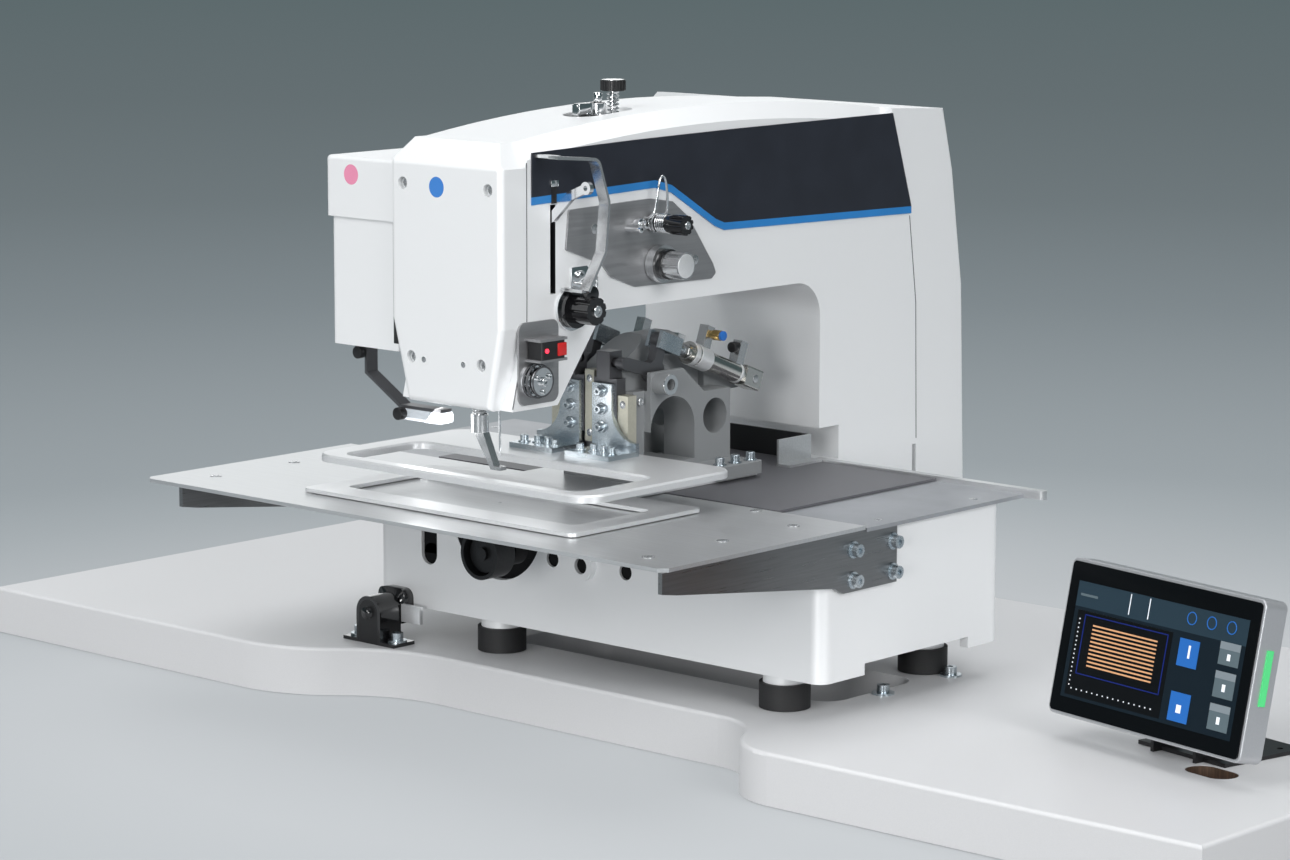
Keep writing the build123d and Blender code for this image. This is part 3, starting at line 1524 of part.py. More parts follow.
finish(slide_blocks, "slide_blocks")


def clamp_bracket(side):
    """Flared upright sheet on a slide block with a flange on the clamp frame."""
    with BuildPart() as bracket:
        with BuildSketch(front_plane(block_front)):
            with BuildLine():
                waist = (clamp_x + side * (clamp_inner + clamp_top_half), clamp_waist_z)
                foot = (clamp_x + side * clamp_outer, clamp_flare_z)
                Polyline(
                    waist,
                    (waist[0], clamp_top_z),
                    (clamp_x + side * clamp_inner, clamp_top_z),
                    (clamp_x + side * clamp_inner, frame_top),
                    (foot[0], frame_top),
                    foot,
                )
                TangentArc(waist, foot, tangent=(0, -1))
            make_face()
        extrude(amount=clamp_sheet)
        with BuildSketch(Plane.XY.offset(frame_top)):
            with Locations((clamp_x + side * (clamp_inner + clamp_outer) / 2, block_front - clamp_flange / 2)):
                Rectangle(clamp_outer - clamp_inner, clamp_flange)
        extrude(amount=clamp_sheet)
    return bracket


finish(clamp_bracket(-1), "clamp_bracket_left")
finish(clamp_bracket(1), "clamp_bracket_right")

# Lift levers on one shaft through the crown, with rollers in the forks
with BuildPart() as lift_levers:
    with BuildSketch(side_plane(clamp_x - lever_outer)):
        with Locations((shaft_y, shaft_z)):
            Circle(shaft_radius)
    extrude(amount=2 * lever_outer)
    for side in (-1, 1):
        with BuildSketch(side_plane(clamp_x + side * lever_inner)):
            with BuildLine():
                front_arm = Line((shaft_y, shaft_z), (roller_y, roller_z))
            SlotArc(front_arm, 2 * lever_half_width)
            with BuildLine():
                top_arm = Line((shaft_y, shaft_z), (clevis_y, clevis_z))
            SlotArc(top_arm, 2 * lever_half_width)
            with Locations((shaft_y, shaft_z)):
                Circle(lever_boss_radius)
            with Locations((clevis_y, clevis_z)):
                Circle(lever_eye_radius)
                Circle(clevis_pin_radius + pivot_play, mode=Mode.SUBTRACT)
        extrude(amount=side * lever_thickness)
        with BuildSketch(side_plane(clamp_x + side * roller_inner)):
            with Locations((roller_y, roller_z)):
                Circle(roller_radius)
        extrude(amount=side * (lever_outer - roller_inner))
finish(lift_levers, "lift_levers")


def along_cylinder(side, reach):
    """Plane across a cylinder's axis, reach from its rear pivot, local Y across X."""
    direction = Vector(0, clevis_y - cylinder_y, clevis_z - cylinder_z).normalized()
    origin = Vector(clamp_x + side * lever_offset, cylinder_y, cylinder_z) + direction * reach
    return Plane(origin, x_dir=(1, 0, 0), z_dir=direction)


# Air cylinders on the arch's rear pins: square rear block, tube, nose, neck and upright fittings
with BuildPart() as air_cylinders:
    for side in (-1, 1):
        with BuildSketch(along_cylinder(side, -cylinder_block_past)):
            RectangleRounded(cylinder_block, cylinder_block, cylinder_block_edge)
        extrude(amount=cylinder_start + cylinder_block_past)
        with BuildSketch(along_cylinder(side, cylinder_start)):
            Circle(cylinder_radius)
        extrude(amount=cylinder_end - cylinder_start)
        with BuildSketch(along_cylinder(side, cylinder_end)):
            Circle(cylinder_nose_radius)
        extrude(amount=cylinder_nose_end - cylinder_end)
        with BuildSketch(along_cylinder(side, cylinder_nose_end)):
            Circle(cylinder_neck_radius)
        extrude(amount=cylinder_neck)
        with BuildSketch(side_plane(clamp_x + side * (lever_offset - cylinder_block / 2 - overrun))):
            with Locations((cylinder_y, cylinder_z)):
                Circle(cylinder_pin_radius + running)
        extrude(amount=side * (cylinder_block + 2 * overrun), mode=Mode.SUBTRACT)
        with BuildSketch(along_cylinder(side, cylinder_nose_end + cylinder_neck + overrun)):
            Circle(rod_radius + running)
        extrude(amount=rod_well - cylinder_nose_end - cylinder_neck - overrun, mode=Mode.SUBTRACT)
finish(air_cylinders, "air_cylinders")

with BuildPart() as air_fittings:
    for side in (-1, 1):
        for reach, seat_depth in (
            (fitting_rear_reach, cylinder_radius / 2),
            (fitting_front_reach, cylinder_nose_radius / 2),
        ):
            across = along_cylinder(side, reach)
            fitting_foot = across.origin + across.y_dir * seat_depth
            with BuildSketch(Plane(fitting_foot, x_dir=(1, 0, 0), z_dir=across.y_dir)):
                Rectangle(fitting_size, fitting_size)
            extrude(amount=fitting_height)
finish(air_fittings, "air_fittings")

clevis_end = cylinder_length + clevis_past
with BuildPart() as cylinder_rods:
    for side in (-1, 1):
        with BuildSketch(along_cylinder(side, rod_start)):
            Circle(rod_radius)
        extrude(amount=clevis_slot_start - rod_start)
        with BuildSketch(along_cylinder(side, clevis_start)):
            Rectangle(clevis_width, clevis_height)
        extrude(amount=clevis_end - clevis_start)
        with BuildSketch(along_cylinder(side, clevis_slot_start)):
            Rectangle(lever_thickness + 2 * gap, clevis_height + 2 * overrun)
        extrude(amount=clevis_end - clevis_slot_start + overrun, mode=Mode.SUBTRACT)
        with BuildSketch(side_plane(clamp_x + side * (lever_offset - clevis_width / 2))):
            with Locations((clevis_y, clevis_z)):
                Circle(clevis_pin_radius)
        extrude(amount=side * clevis_width)
finish(cylinder_rods, "cylinder_rods")

# Control panel in its own leaning plane, and the stand that carries it
panel_facing = panel_level * cos(radians(panel_lean)) + Vector(0, 0, sin(radians(panel_lean)))
panel_foot = Vector(panel_x, panel_y, board_thickness + panel_rise)
panel_plane = Plane(panel_foot, x_dir=panel_along, z_dir=panel_facing)
pivot_place = panel_plane.from_local_coords(Vector(0, panel_pivot_rise, -panel_pivot_back))
pivot_plane = Plane(pivot_place, x_dir=panel_facing, z_dir=panel_along)


with BuildPart() as panel_housing:
    with BuildSketch(panel_plane):
        with Locations((0, panel_height / 2)):
            RectangleRounded(panel_width, panel_height, panel_corner)
    extrude(amount=-panel_depth)
    fillet(panel_housing.faces().sort_by(Axis.Y)[0].edges(), radius=panel_edge_radius / 3)
    with BuildSketch(panel_plane.offset(-panel_depth)):
        with Locations((0, panel_pivot_rise)):
            Rectangle(2 * panel_lug_half, panel_lug_height)
    extrude(amount=panel_depth - panel_pivot_back - panel_lug_height / 2)
    with BuildSketch(pivot_plane.offset(-panel_lug_half - overrun)):
        Circle(panel_pin_radius + running)
    extrude(amount=2 * (panel_lug_half + overrun), mode=Mode.SUBTRACT)
finish(panel_housing, "panel_housing")

with BuildPart() as panel_screen:
    with BuildSketch(panel_plane):
        with Locations((0, panel_height / 2)):
            RectangleRounded(
                panel_width - 2 * screen_margin, panel_height - 2 * screen_margin, panel_corner - screen_margin
            )
    extrude(amount=screen_thickness)
finish(panel_screen, "panel_screen")

light_origin = panel_plane.from_local_coords(Vector(panel_width / 2, light_rise, -panel_depth / 2))
with BuildPart() as panel_light_strip:
    with BuildSketch(Plane(light_origin, x_dir=panel_facing, z_dir=panel_along)):
        Rectangle(light_depth, light_height)
    extrude(amount=light_proud)
finish(panel_light_strip, "panel_light_strip")

stand_place = Vector(panel_x, panel_y, board_thickness)
stand_plane = Plane(stand_place, x_dir=panel_along, z_dir=(0, 0, 1))
with BuildPart() as panel_bracket:
    with BuildSketch(stand_plane):
        with Locations((0, (stand_front + stand_rear) / 2)):
            Rectangle(2 * stand_half, stand_rear - stand_front)
        with Locations((stand_screw_offset, stand_screw_back), (-stand_screw_offset, stand_screw_back)):
            Circle(screw_head_radius / 2, mode=Mode.SUBTRACT)
    extrude(amount=stand_sheet)
    pivot_local = stand_plane.to_local_coords(pivot_place)
    for side in (-1, 1):
        ear_plane = Plane(
            stand_place + panel_along * side * (panel_lug_half + gap), x_dir=-panel_level, z_dir=panel_along
        )
        with BuildSketch(ear_plane):
            ear_height = pivot_local.Z
            with Locations((pivot_local.Y, ear_height / 2)):
                Rectangle(stand_ear_width, ear_height)
            with Locations((pivot_local.Y, pivot_local.Z)):
                Circle(stand_ear_width / 2)
        extrude(amount=side * stand_sheet)
    with BuildSketch(pivot_plane.offset(-panel_lug_half - gap - stand_sheet)):
        Circle(panel_pin_radius)
    extrude(amount=2 * (panel_lug_half + gap + stand_sheet))
finish(panel_bracket, "panel_bracket")
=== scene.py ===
"""Looks of the pattern sewing machine: finishes for its solids and the fine pieces on them.

Sizes and places in the classes of the pieces are in millimetres, and shares say so by name.
"""
import logging
import math
from dataclasses import dataclass
from enum import Enum
from typing import Iterable, Optional, Sequence

import bmesh
import bpy
from mathutils import Matrix, Vector


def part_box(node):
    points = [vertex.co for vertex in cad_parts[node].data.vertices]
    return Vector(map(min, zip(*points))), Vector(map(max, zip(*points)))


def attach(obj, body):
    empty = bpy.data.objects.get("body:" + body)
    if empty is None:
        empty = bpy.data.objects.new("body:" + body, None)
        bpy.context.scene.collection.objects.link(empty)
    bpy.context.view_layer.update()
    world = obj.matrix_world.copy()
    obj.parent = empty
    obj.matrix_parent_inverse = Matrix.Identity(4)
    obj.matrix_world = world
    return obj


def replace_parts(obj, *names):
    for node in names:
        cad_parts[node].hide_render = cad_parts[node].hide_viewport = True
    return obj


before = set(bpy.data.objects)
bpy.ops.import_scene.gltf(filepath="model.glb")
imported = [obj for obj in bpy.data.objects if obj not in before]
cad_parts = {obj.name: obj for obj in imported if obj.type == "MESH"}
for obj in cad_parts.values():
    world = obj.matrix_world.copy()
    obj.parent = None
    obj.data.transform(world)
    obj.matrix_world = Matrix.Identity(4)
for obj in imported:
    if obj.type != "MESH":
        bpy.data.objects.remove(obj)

LOG = logging.getLogger("sewing_machine")
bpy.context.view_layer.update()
MM = 0.001
X = Vector((1, 0, 0))
Y = Vector((0, 1, 0))
Z = Vector((0, 0, 1))
Pair = tuple[float, float]
Triple = tuple[float, float, float]
Rect = tuple[float, float, float, float]

MERGE_REACH = 1e-6
DOUBLE_REACH = 1e-7
COAT_ROUGHNESS = 0.08
GLASS_CLEARNESS = 0.6
GLASS_IOR = 1.45
GRAIN_DEPTH = 0.0006
FINE_DETAIL = 4.0
BROAD_DETAIL = 2.0
BROAD_SHARE = 40
GLOSS_SWING = 0.16
BRUSHED_SWING = 0.28
DARK_STOP = 0.34
FULL_STOP = 0.66
BACKDROP_REACH = 13.0
# Glow of the ground by distance from the object: a painted pool of light, pale near and darker far
# away.
LIGHT_POOL_TONES = (
    (0.0, (0.36, 0.38, 0.395, 1)), (0.04, (0.35, 0.37, 0.385, 1)),
    (0.075, (0.20, 0.23, 0.245, 1)), (0.092, (0.15, 0.18, 0.195, 1)),
    (0.2, (0.09, 0.118, 0.13, 1)), (0.32, (0.06, 0.085, 0.092, 1)),
    (0.52, (0.045, 0.07, 0.075, 1)), (1.0, (0.03, 0.06, 0.063, 1)),
)


class Grain(Enum):
    """Surface structure that a finish carries."""

    PAINT = "paint"
    BRUSHED = "brushed"
    CAST = "cast"
    LAMINATE = "laminate"
    POWDER = "powder"
    MOULDED = "moulded"
    GLASS = "glass"
    LIT = "lit"
    BACKDROP = "backdrop"


@dataclass(frozen=True)
class Finish:
    """One finish: colour, gloss and grain, made into a material once."""

    name: str
    colour: Triple
    grain: Grain
    roughness: float = 0.4
    metallic: float = 0.0
    coat: float = 0.0
    vary: float = 0.06
    bump: float = 0.05
    scale: float = 300.0
    stretch: Triple = (1.0, 1.0, 1.0)
    second: Optional[Triple] = None
    glow: float = 0.0
    specular: float = 0.5

    def material(self) -> bpy.types.Material:
        """Give the finish's material, made on first use.

        Returns:
            The material with its nodes.
        """
        known = bpy.data.materials.get(self.name)
        if known is not None:
            return known
        made = bpy.data.materials.new(self.name)
        made.use_nodes = True
        self._nodes(made.node_tree)
        return made

    def _nodes(self, tree: bpy.types.NodeTree) -> None:
        """Set the shader and hang the grain's textures on it.

        Args:
            tree: node tree of the new material.
        """
        shader = tree.nodes["Principled BSDF"]
        shader.inputs["Base Color"].default_value = (*self.colour, 1.0)
        shader.inputs["Roughness"].default_value = self.roughness
        shader.inputs["Metallic"].default_value = self.metallic
        shader.inputs["Coat Weight"].default_value = self.coat
        shader.inputs["Coat Roughness"].default_value = COAT_ROUGHNESS
        shader.inputs["Specular IOR Level"].default_value = self.specular
        if self.grain is Grain.LIT:
            shader.inputs["Emission Color"].default_value = (*self.colour, 1.0)
            shader.inputs["Emission Strength"].default_value = self.glow
        if self.grain is Grain.BACKDROP:
            self._backdrop(tree, shader)
            return
        if self.grain is Grain.GLASS:
            shader.inputs["Transmission Weight"].default_value = GLASS_CLEARNESS
            shader.inputs["IOR"].default_value = GLASS_IOR
        fine = self._noise(tree, self.scale, self.stretch, FINE_DETAIL)
        broad = self._noise(tree, self.scale / BROAD_SHARE, (1.0, 1.0, 1.0), BROAD_DETAIL)
        self._roughness(tree, shader, fine)
        self._colour(tree, shader, fine, broad)
        if self.bump > 0:
            bump = tree.nodes.new("ShaderNodeBump")
            bump.inputs["Strength"].default_value = self.bump
            bump.inputs["Distance"].default_value = GRAIN_DEPTH
            tree.links.new(fine.outputs["Fac"], bump.inputs["Height"])
            tree.links.new(bump.outputs["Normal"], shader.inputs["Normal"])

    def _backdrop(self, tree: bpy.types.NodeTree, shader: bpy.types.Node) -> None:
        """Paint a pool of light on the ground: pale near the object and darker far away, with the
        object's shadow.

        Args:
            tree: node tree of the ground's material.
            shader: shader that takes the glow.
        """
        place = tree.nodes.new("ShaderNodeTexCoord")
        reach = tree.nodes.new("ShaderNodeVectorMath")
        reach.operation = "LENGTH"
        span = tree.nodes.new("ShaderNodeMapRange")
        span.inputs["From Max"].default_value = BACKDROP_REACH
        ramp = tree.nodes.new("ShaderNodeValToRGB")
        stops = ramp.color_ramp.elements
        for share, tone in LIGHT_POOL_TONES[1:-1]:
            stops.new(share).color = tone
        stops[0].color = LIGHT_POOL_TONES[0][1]
        stops[len(stops) - 1].color = LIGHT_POOL_TONES[-1][1]
        tree.links.new(place.outputs["Object"], reach.inputs[0])
        tree.links.new(reach.outputs["Value"], span.inputs["Value"])
        tree.links.new(span.outputs["Result"], ramp.inputs["Fac"])
        tree.links.new(ramp.outputs["Color"], shader.inputs["Emission Color"])
        rays = tree.nodes.new("ShaderNodeLightPath")
        seen = [tree.nodes.new("ShaderNodeMath") for _ in range(2)]
        for sum_node, ray in zip(seen, ("Is Glossy Ray", "Is Transmission Ray")):
            sum_node.operation = "ADD"
            sum_node.use_clamp = True
            tree.links.new(rays.outputs[ray], sum_node.inputs[1])
        tree.links.new(rays.outputs["Is Camera Ray"], seen[0].inputs[0])
        tree.links.new(seen[0].outputs["Value"], seen[1].inputs[0])
        tree.links.new(seen[1].outputs["Value"], shader.inputs["Emission Strength"])

    def _noise(
        self, tree: bpy.types.NodeTree, scale: float, stretch: Triple, detail: float
    ) -> bpy.types.Node:
        """Make a noise texture on the piece's own coordinates.

        Args:
            tree: node tree to add to.
            scale: grains a metre.
            stretch: share of the scale along each axis.
            detail: octaves of the noise.

        Returns:
            The noise node.
        """
        place = tree.nodes.new("ShaderNodeTexCoord")
        turn = tree.nodes.new("ShaderNodeMapping")
        turn.inputs["Scale"].default_value = stretch
        noise = tree.nodes.new("ShaderNodeTexNoise")
        noise.inputs["Scale"].default_value = scale
        noise.inputs["Detail"].default_value = detail
        tree.links.new(place.outputs["Object"], turn.inputs["Vector"])
        tree.links.new(turn.outputs["Vector"], noise.inputs["Vector"])
        return noise

    def _roughness(
        self, tree: bpy.types.NodeTree, shader: bpy.types.Node, fine: bpy.types.Node
    ) -> None:
        """Let the gloss wander a little with the grain.

        Args:
            tree: node tree to add to.
            shader: shader that takes the roughness.
            fine: noise of the grain itself.
        """
        span = tree.nodes.new("ShaderNodeMapRange")
        swing = BRUSHED_SWING if self.grain is Grain.BRUSHED else GLOSS_SWING
        span.inputs["To Min"].default_value = self.roughness * (1 - swing)
        span.inputs["To Max"].default_value = self.roughness * (1 + swing)
        tree.links.new(fine.outputs["Fac"], span.inputs["Value"])
        tree.links.new(span.outputs["Result"], shader.inputs["Roughness"])

    def _colour(
        self, tree: bpy.types.NodeTree, shader: bpy.types.Node, fine: bpy.types.Node,
        broad: bpy.types.Node,
    ) -> None:
        """Mix the colour with its second tone by the grain.

        Args:
            tree: node tree to add to.
            shader: shader that takes the colour.
            fine: noise of the grain itself.
            broad: slow noise for patches.
        """
        ramp = tree.nodes.new("ShaderNodeValToRGB")
        dark = self.second or tuple(c * (1 - self.vary) for c in self.colour)
        ramp.color_ramp.elements[0].position = DARK_STOP
        ramp.color_ramp.elements[0].color = (*dark, 1.0)
        ramp.color_ramp.elements[1].position = FULL_STOP
        ramp.color_ramp.elements[1].color = (*self.colour, 1.0)
        source = fine if self.grain in (Grain.BRUSHED, Grain.LAMINATE, Grain.CAST) else broad
        tree.links.new(source.outputs["Fac"], ramp.inputs["Fac"])
        tree.links.new(ramp.outputs["Color"], shader.inputs["Base Color"])


def screen_tone(name: str, colour: Triple, glow: float) -> Finish:
    """Give a softly lit finish of the panel's screen."""
    return Finish(
        name, colour, Grain.LIT, 0.3, vary=0.05, bump=0.0, scale=200, glow=glow, specular=0.08
    )


WHITE_PAINT = Finish(
    "white_paint", (0.84, 0.85, 0.86), Grain.PAINT, 0.30, coat=0.35, vary=0.02, bump=0.03, scale=900
)
BOARD = Finish(
    "board_laminate", (0.64, 0.645, 0.655), Grain.LAMINATE, 0.45, vary=0.035, bump=0.05, scale=1400
)
BOARD_CORE = Finish(
    "board_core", (0.12, 0.07, 0.042), Grain.LAMINATE, 0.7, vary=0.5, bump=0.2, scale=600,
    stretch=(1, 1, 0.1),
)
DARK_FILM = Finish(
    "dark_film", (0.018, 0.021, 0.030), Grain.MOULDED, 0.38, vary=0.15, bump=0.02, scale=1500,
    specular=0.35,
)
BLUE_FILM = Finish(
    "blue_film", (0.02, 0.19, 0.50), Grain.MOULDED, 0.35, vary=0.06, bump=0.02, scale=1500
)
GREY_SHEET = Finish(
    "grey_sheet", (0.40, 0.40, 0.41), Grain.BRUSHED, 0.42, 0.85, vary=0.12, bump=0.04, scale=500,
    stretch=(1, 0.04, 1),
)
STAINLESS = Finish(
    "stainless_plate", (0.68, 0.69, 0.70), Grain.BRUSHED, 0.34, 0.84, vary=0.10, bump=0.05,
    scale=700, stretch=(0.03, 1, 1),
)
DARK_PLATE = Finish(
    "dark_plate", (0.24, 0.255, 0.275), Grain.POWDER, 0.42, 0.55, vary=0.10, bump=0.06, scale=1200
)
COVER_PLATE = Finish(
    "cover_plate", (0.38, 0.395, 0.42), Grain.POWDER, 0.42, 0.5, vary=0.10, bump=0.06, scale=1200
)
ZINC = Finish(
    "zinc_plate", (0.62, 0.66, 0.69), Grain.PAINT, 0.27, 1.0, bump=0.006, scale=1800,
    second=(0.46, 0.52, 0.56),
)
CAST_GREY = Finish(
    "cast_grey", (0.56, 0.565, 0.57), Grain.CAST, 0.45, 0.3, vary=0.16, bump=0.18, scale=900
)
CREAM = Finish(
    "cream_guide", (0.62, 0.60, 0.50), Grain.BRUSHED, 0.38, 0.6, vary=0.08, bump=0.04, scale=500
)
CLAMP_ALU = Finish(
    "clamp_aluminium", (0.80, 0.81, 0.82), Grain.BRUSHED, 0.36, 0.6, vary=0.05, bump=0.03, scale=900
)
PANEL_ALU = Finish(
    "panel_aluminium", (0.50, 0.51, 0.53), Grain.BRUSHED, 0.36, 0.6, vary=0.05, bump=0.03, scale=900
)
STEEL = Finish(
    "ground_steel", (0.62, 0.63, 0.64), Grain.BRUSHED, 0.24, 0.9, vary=0.12, bump=0.03, scale=800
)
CHROME = Finish(
    "bright_chrome", (0.78, 0.79, 0.80), Grain.BRUSHED, 0.10, 1.0, vary=0.04, bump=0.01, scale=600
)
TUBE_STEEL = Finish(
    "tube_steel", (0.68, 0.67, 0.64), Grain.BRUSHED, 0.18, 1.0, vary=0.08, bump=0.02, scale=500
)
# Steel of the plate brackets, a darker copy of the plate's steel: painted shade for the dark
# machine parts that the brackets mirror.
SHADED_BRACKET_STEEL = Finish(
    "shaded_bracket_steel", (0.27, 0.275, 0.28), Grain.BRUSHED, 0.30, 1.0, vary=0.12, bump=0.03, scale=700,
    stretch=(1, 0.03, 1),
)
DARK_STEEL = Finish(
    "dark_steel", (0.11, 0.115, 0.12), Grain.CAST, 0.36, 0.9, vary=0.2, bump=0.03, scale=900
)
# Steel of the hook and bobbin case darkened to near black: painted shade of their place in the
# bed's dark opening.
SHADED_HOOK_STEEL = Finish(
    "shaded_hook_steel", (0.035, 0.036, 0.038), Grain.CAST, 0.4, 0.8, vary=0.2, bump=0.05, scale=900
)
BRASS = Finish(
    "brass_fitting", (0.62, 0.43, 0.17), Grain.BRUSHED, 0.2, 1.0, vary=0.08, bump=0.02, scale=700
)
BLACK = Finish(
    "black_moulded", (0.012, 0.012, 0.013), Grain.MOULDED, 0.34, vary=0.25, bump=0.05, scale=1600
)
BLACK_GLOSS = Finish(
    "black_gloss", (0.008, 0.008, 0.009), Grain.MOULDED, 0.12, coat=0.5, vary=0.2, bump=0.01,
    scale=900,
)
# Black that stands in for the shade inside the bed's openings and on the hook's arm and bracket:
# painted shade.
PAINTED_SHADE_BLACK = Finish(
    "painted_shade_black", (0.004, 0.004, 0.005), Grain.MOULDED, 0.6, vary=0.25, bump=0.04, scale=1400,
    specular=0.15,
)
RUBBER = Finish(
    "foot_rubber", (0.016, 0.016, 0.017), Grain.MOULDED, 0.62, vary=0.3, bump=0.12, scale=1300
)
BLUE_RING = Finish(
    "blue_ring", (0.02, 0.14, 0.48), Grain.MOULDED, 0.3, vary=0.08, bump=0.02, scale=900
)
RED = Finish("red_moulded", (0.55, 0.02, 0.02), Grain.MOULDED, 0.25, vary=0.1, bump=0.02, scale=800)
RED_LIGHT = Finish(
    "red_light", (0.9, 0.03, 0.06), Grain.LIT, 0.3, vary=0.1, bump=0.0, scale=200, glow=2.0
)
BLUE_GLASS = Finish(
    "blue_glass", (0.015, 0.13, 0.38), Grain.GLASS, 0.12, vary=0.1, bump=0.02, scale=400
)
PINK_GLASS = Finish(
    "pink_glass", (0.66, 0.40, 0.44), Grain.GLASS, 0.14, vary=0.1, bump=0.02, scale=400
)
CLEAR = Finish("clear_lamp", (0.86, 0.90, 0.94), Grain.GLASS, 0.08, vary=0.02, bump=0.0, scale=200)
LAMP_LIGHT = Finish(
    "lamp_light", (0.95, 0.97, 1.0), Grain.LIT, 0.4, vary=0.02, bump=0.0, scale=200, glow=1.6
)
SCREEN = Finish(
    "screen_glass", (0.004, 0.005, 0.006), Grain.MOULDED, 0.12, vary=0.1, bump=0.0, scale=200,
    specular=0.08,
)
GREEN_LIGHT = Finish(
    "green_light", (0.07, 0.62, 0.18), Grain.LIT, 0.3, vary=0.1, bump=0.0, scale=200, glow=0.9
)
UI_SLATE = screen_tone("screen_slate", (0.016, 0.030, 0.042), 0.5)
UI_DEEP = screen_tone("screen_deep", (0.006, 0.011, 0.016), 0.5)
UI_FIELD = screen_tone("screen_field", (0.004, 0.005, 0.006), 0.2)
UI_BLUE = screen_tone("screen_blue", (0.018, 0.10, 0.33), 0.5)
UI_GREY = screen_tone("screen_grey", (0.085, 0.115, 0.13), 0.3)
UI_PALE = screen_tone("screen_pale", (0.17, 0.20, 0.22), 0.3)
UI_LINE = screen_tone("screen_line", (0.55, 0.58, 0.62), 0.7)
UI_NAVY = screen_tone("screen_navy", (0.008, 0.016, 0.11), 0.5)
UI_WARM = screen_tone("screen_warm", (0.50, 0.27, 0.14), 0.45)
# Ground and wall: a dark diffuse base under a glow that only camera, glossy and transmission rays
# see, painted as a pool of light around the object.
LIGHT_POOL_GROUND = Finish(
    "light_pool_ground", (0.20, 0.205, 0.21), Grain.BACKDROP, 1.0, vary=0.01, bump=0.0, scale=3,
    specular=0.0,
)
SHADE = Finish(
    "floor_shade", (0.80, 0.805, 0.815), Grain.POWDER, 0.9, vary=0.1, bump=0.0, scale=40,
    specular=0.1,
)

NODE_FINISHES: dict[str, Finish] = {
    "table_top": BOARD, "hinge_straps": BLACK_GLOSS, "hinge_bushes": BLACK, "board_screws": ZINC,
    "panel_bracket": BLACK, "panel_housing": PANEL_ALU, "panel_screen": SCREEN,
    "panel_light_strip": GREEN_LIGHT, "base_casting": WHITE_PAINT, "hinge_lugs": BLACK_GLOSS,
    "rubber_feet": RUBBER, "arm_casting": WHITE_PAINT, "rear_cover": WHITE_PAINT,
    "face_cover": WHITE_PAINT, "face_cover_screws": STEEL, "arm_side_panel": DARK_FILM,
    "accent_stripe": BLUE_FILM, "drive_box": WHITE_PAINT, "drive_box_cap": WHITE_PAINT,
    "head_sight_glass": BLUE_GLASS, "drive_sight_glass": PINK_GLASS, "tension_plate": GREY_SHEET,
    "takeup_guard": STEEL, "thread_monitor_bracket": GREY_SHEET, "thread_sensor": BLACK,
    "thread_clamp_disc": CHROME, "lamp_bracket": DARK_STEEL, "lamp_head": CLEAR,
    "winder_base": BLACK, "front_plate": STAINLESS, "throat_plate": STAINLESS,
    # The plate brackets' steel is darkened with painted shade.
    "plate_bracket_right": SHADED_BRACKET_STEEL, "plate_bracket_left": SHADED_BRACKET_STEEL,
    "plate_bracket_screws": ZINC, "side_cover_plates": COVER_PLATE, "rear_strip": STAINLESS,
    # The hook bracket's black and the bobbin case's near black are painted shade.
    "hook_bracket": PAINTED_SHADE_BLACK, "bobbin_case": SHADED_HOOK_STEEL, "x_cover_plate": DARK_PLATE,
    "upright_guard": STAINLESS, "clamp_arch": CAST_GREY, "lower_clamp_plate": CLAMP_ALU,
    "guide_rails": CREAM, "clamp_bracket_left": ZINC, "clamp_bracket_right": ZINC,
    "slide_blocks": DARK_STEEL, "upper_clamp_frame": CLAMP_ALU, "lift_levers": DARK_STEEL,
    "air_cylinders": TUBE_STEEL, "air_fittings": STEEL, "cylinder_rods": ZINC,
    "needle_bar": CHROME, "presser_foot": STEEL, "takeup_lever": CHROME,
    "main_tension_knob": STEEL, "pretension_knob": BLACK_GLOSS, "check_spring_knob": BLACK_GLOSS,
    "winder_spindle": CHROME, "rotary_hook": SHADED_HOOK_STEEL, "back_sheet": BLACK,
}


def mm(x: float, y: float, z: float) -> Vector:
    """Point given in millimetres, as a vector in metres."""
    return Vector((x * MM, y * MM, z * MM))


def off_face(face: float, out: float, y: float, z: float) -> Vector:
    """Point some millimetres to the right of a face whose place along X is in metres."""
    return Vector((face + out * MM, y * MM, z * MM))


def between(low: float, high: float, share: float) -> float:
    """Place between two ends by its share of the way."""
    return low + share * (high - low)


def right_end(node: str) -> Vector:
    """Middle of a solid's right end."""
    low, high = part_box(node)
    return Vector((high.x, (low.y + high.y) / 2, (low.z + high.z) / 2))


def turned_to(foot: Vector, axis: Vector) -> Matrix:
    """Matrix that carries +Z onto an axis and the origin onto a foot point."""
    return Matrix.Translation(foot) @ axis.to_track_quat("Z", "Y").to_matrix().to_4x4()


def seat_on(node: str, start: Vector, way: Vector) -> tuple[Vector, Vector]:
    """Find where a line first meets a solid.

    Args:
        node: name of the solid.
        start: point outside the solid.
        way: direction of the line.

    Returns:
        The point and the outward normal there.

    Raises:
        ValueError: if the line misses the solid.
    """
    met, place, normal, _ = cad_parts[node].ray_cast(start, way)
    if not met:
        raise ValueError(f"no seat on {node}")
    return place, normal


@dataclass(frozen=True)
class Turned:
    """Sizes of a turned drum, and how far along its axis it starts."""

    radius: float
    length: float
    rim: float = 0.0
    sides: int = 32
    start: float = 0.0


@dataclass(frozen=True)
class Ring:
    """Sizes of a short tube, and how far along its axis it starts."""

    outer: float
    inner: float
    length: float
    start: float = 0.0


@dataclass(frozen=True)
class Coil:
    """Sizes of a coil spring, and how far along its axis it starts."""

    radius: float
    wire: float
    turns: int
    length: float
    start: float = 0.0


@dataclass(frozen=True)
class Cap:
    """Sizes of a cap screw, with its washer's radius or zero for none."""

    radius: float
    height: float
    washer: float = 0.0


@dataclass(frozen=True)
class Block:
    """Two corners of a block, from its anchor, and the size of its rounded edges."""

    low: Triple
    high: Triple
    rim: float = 0.0


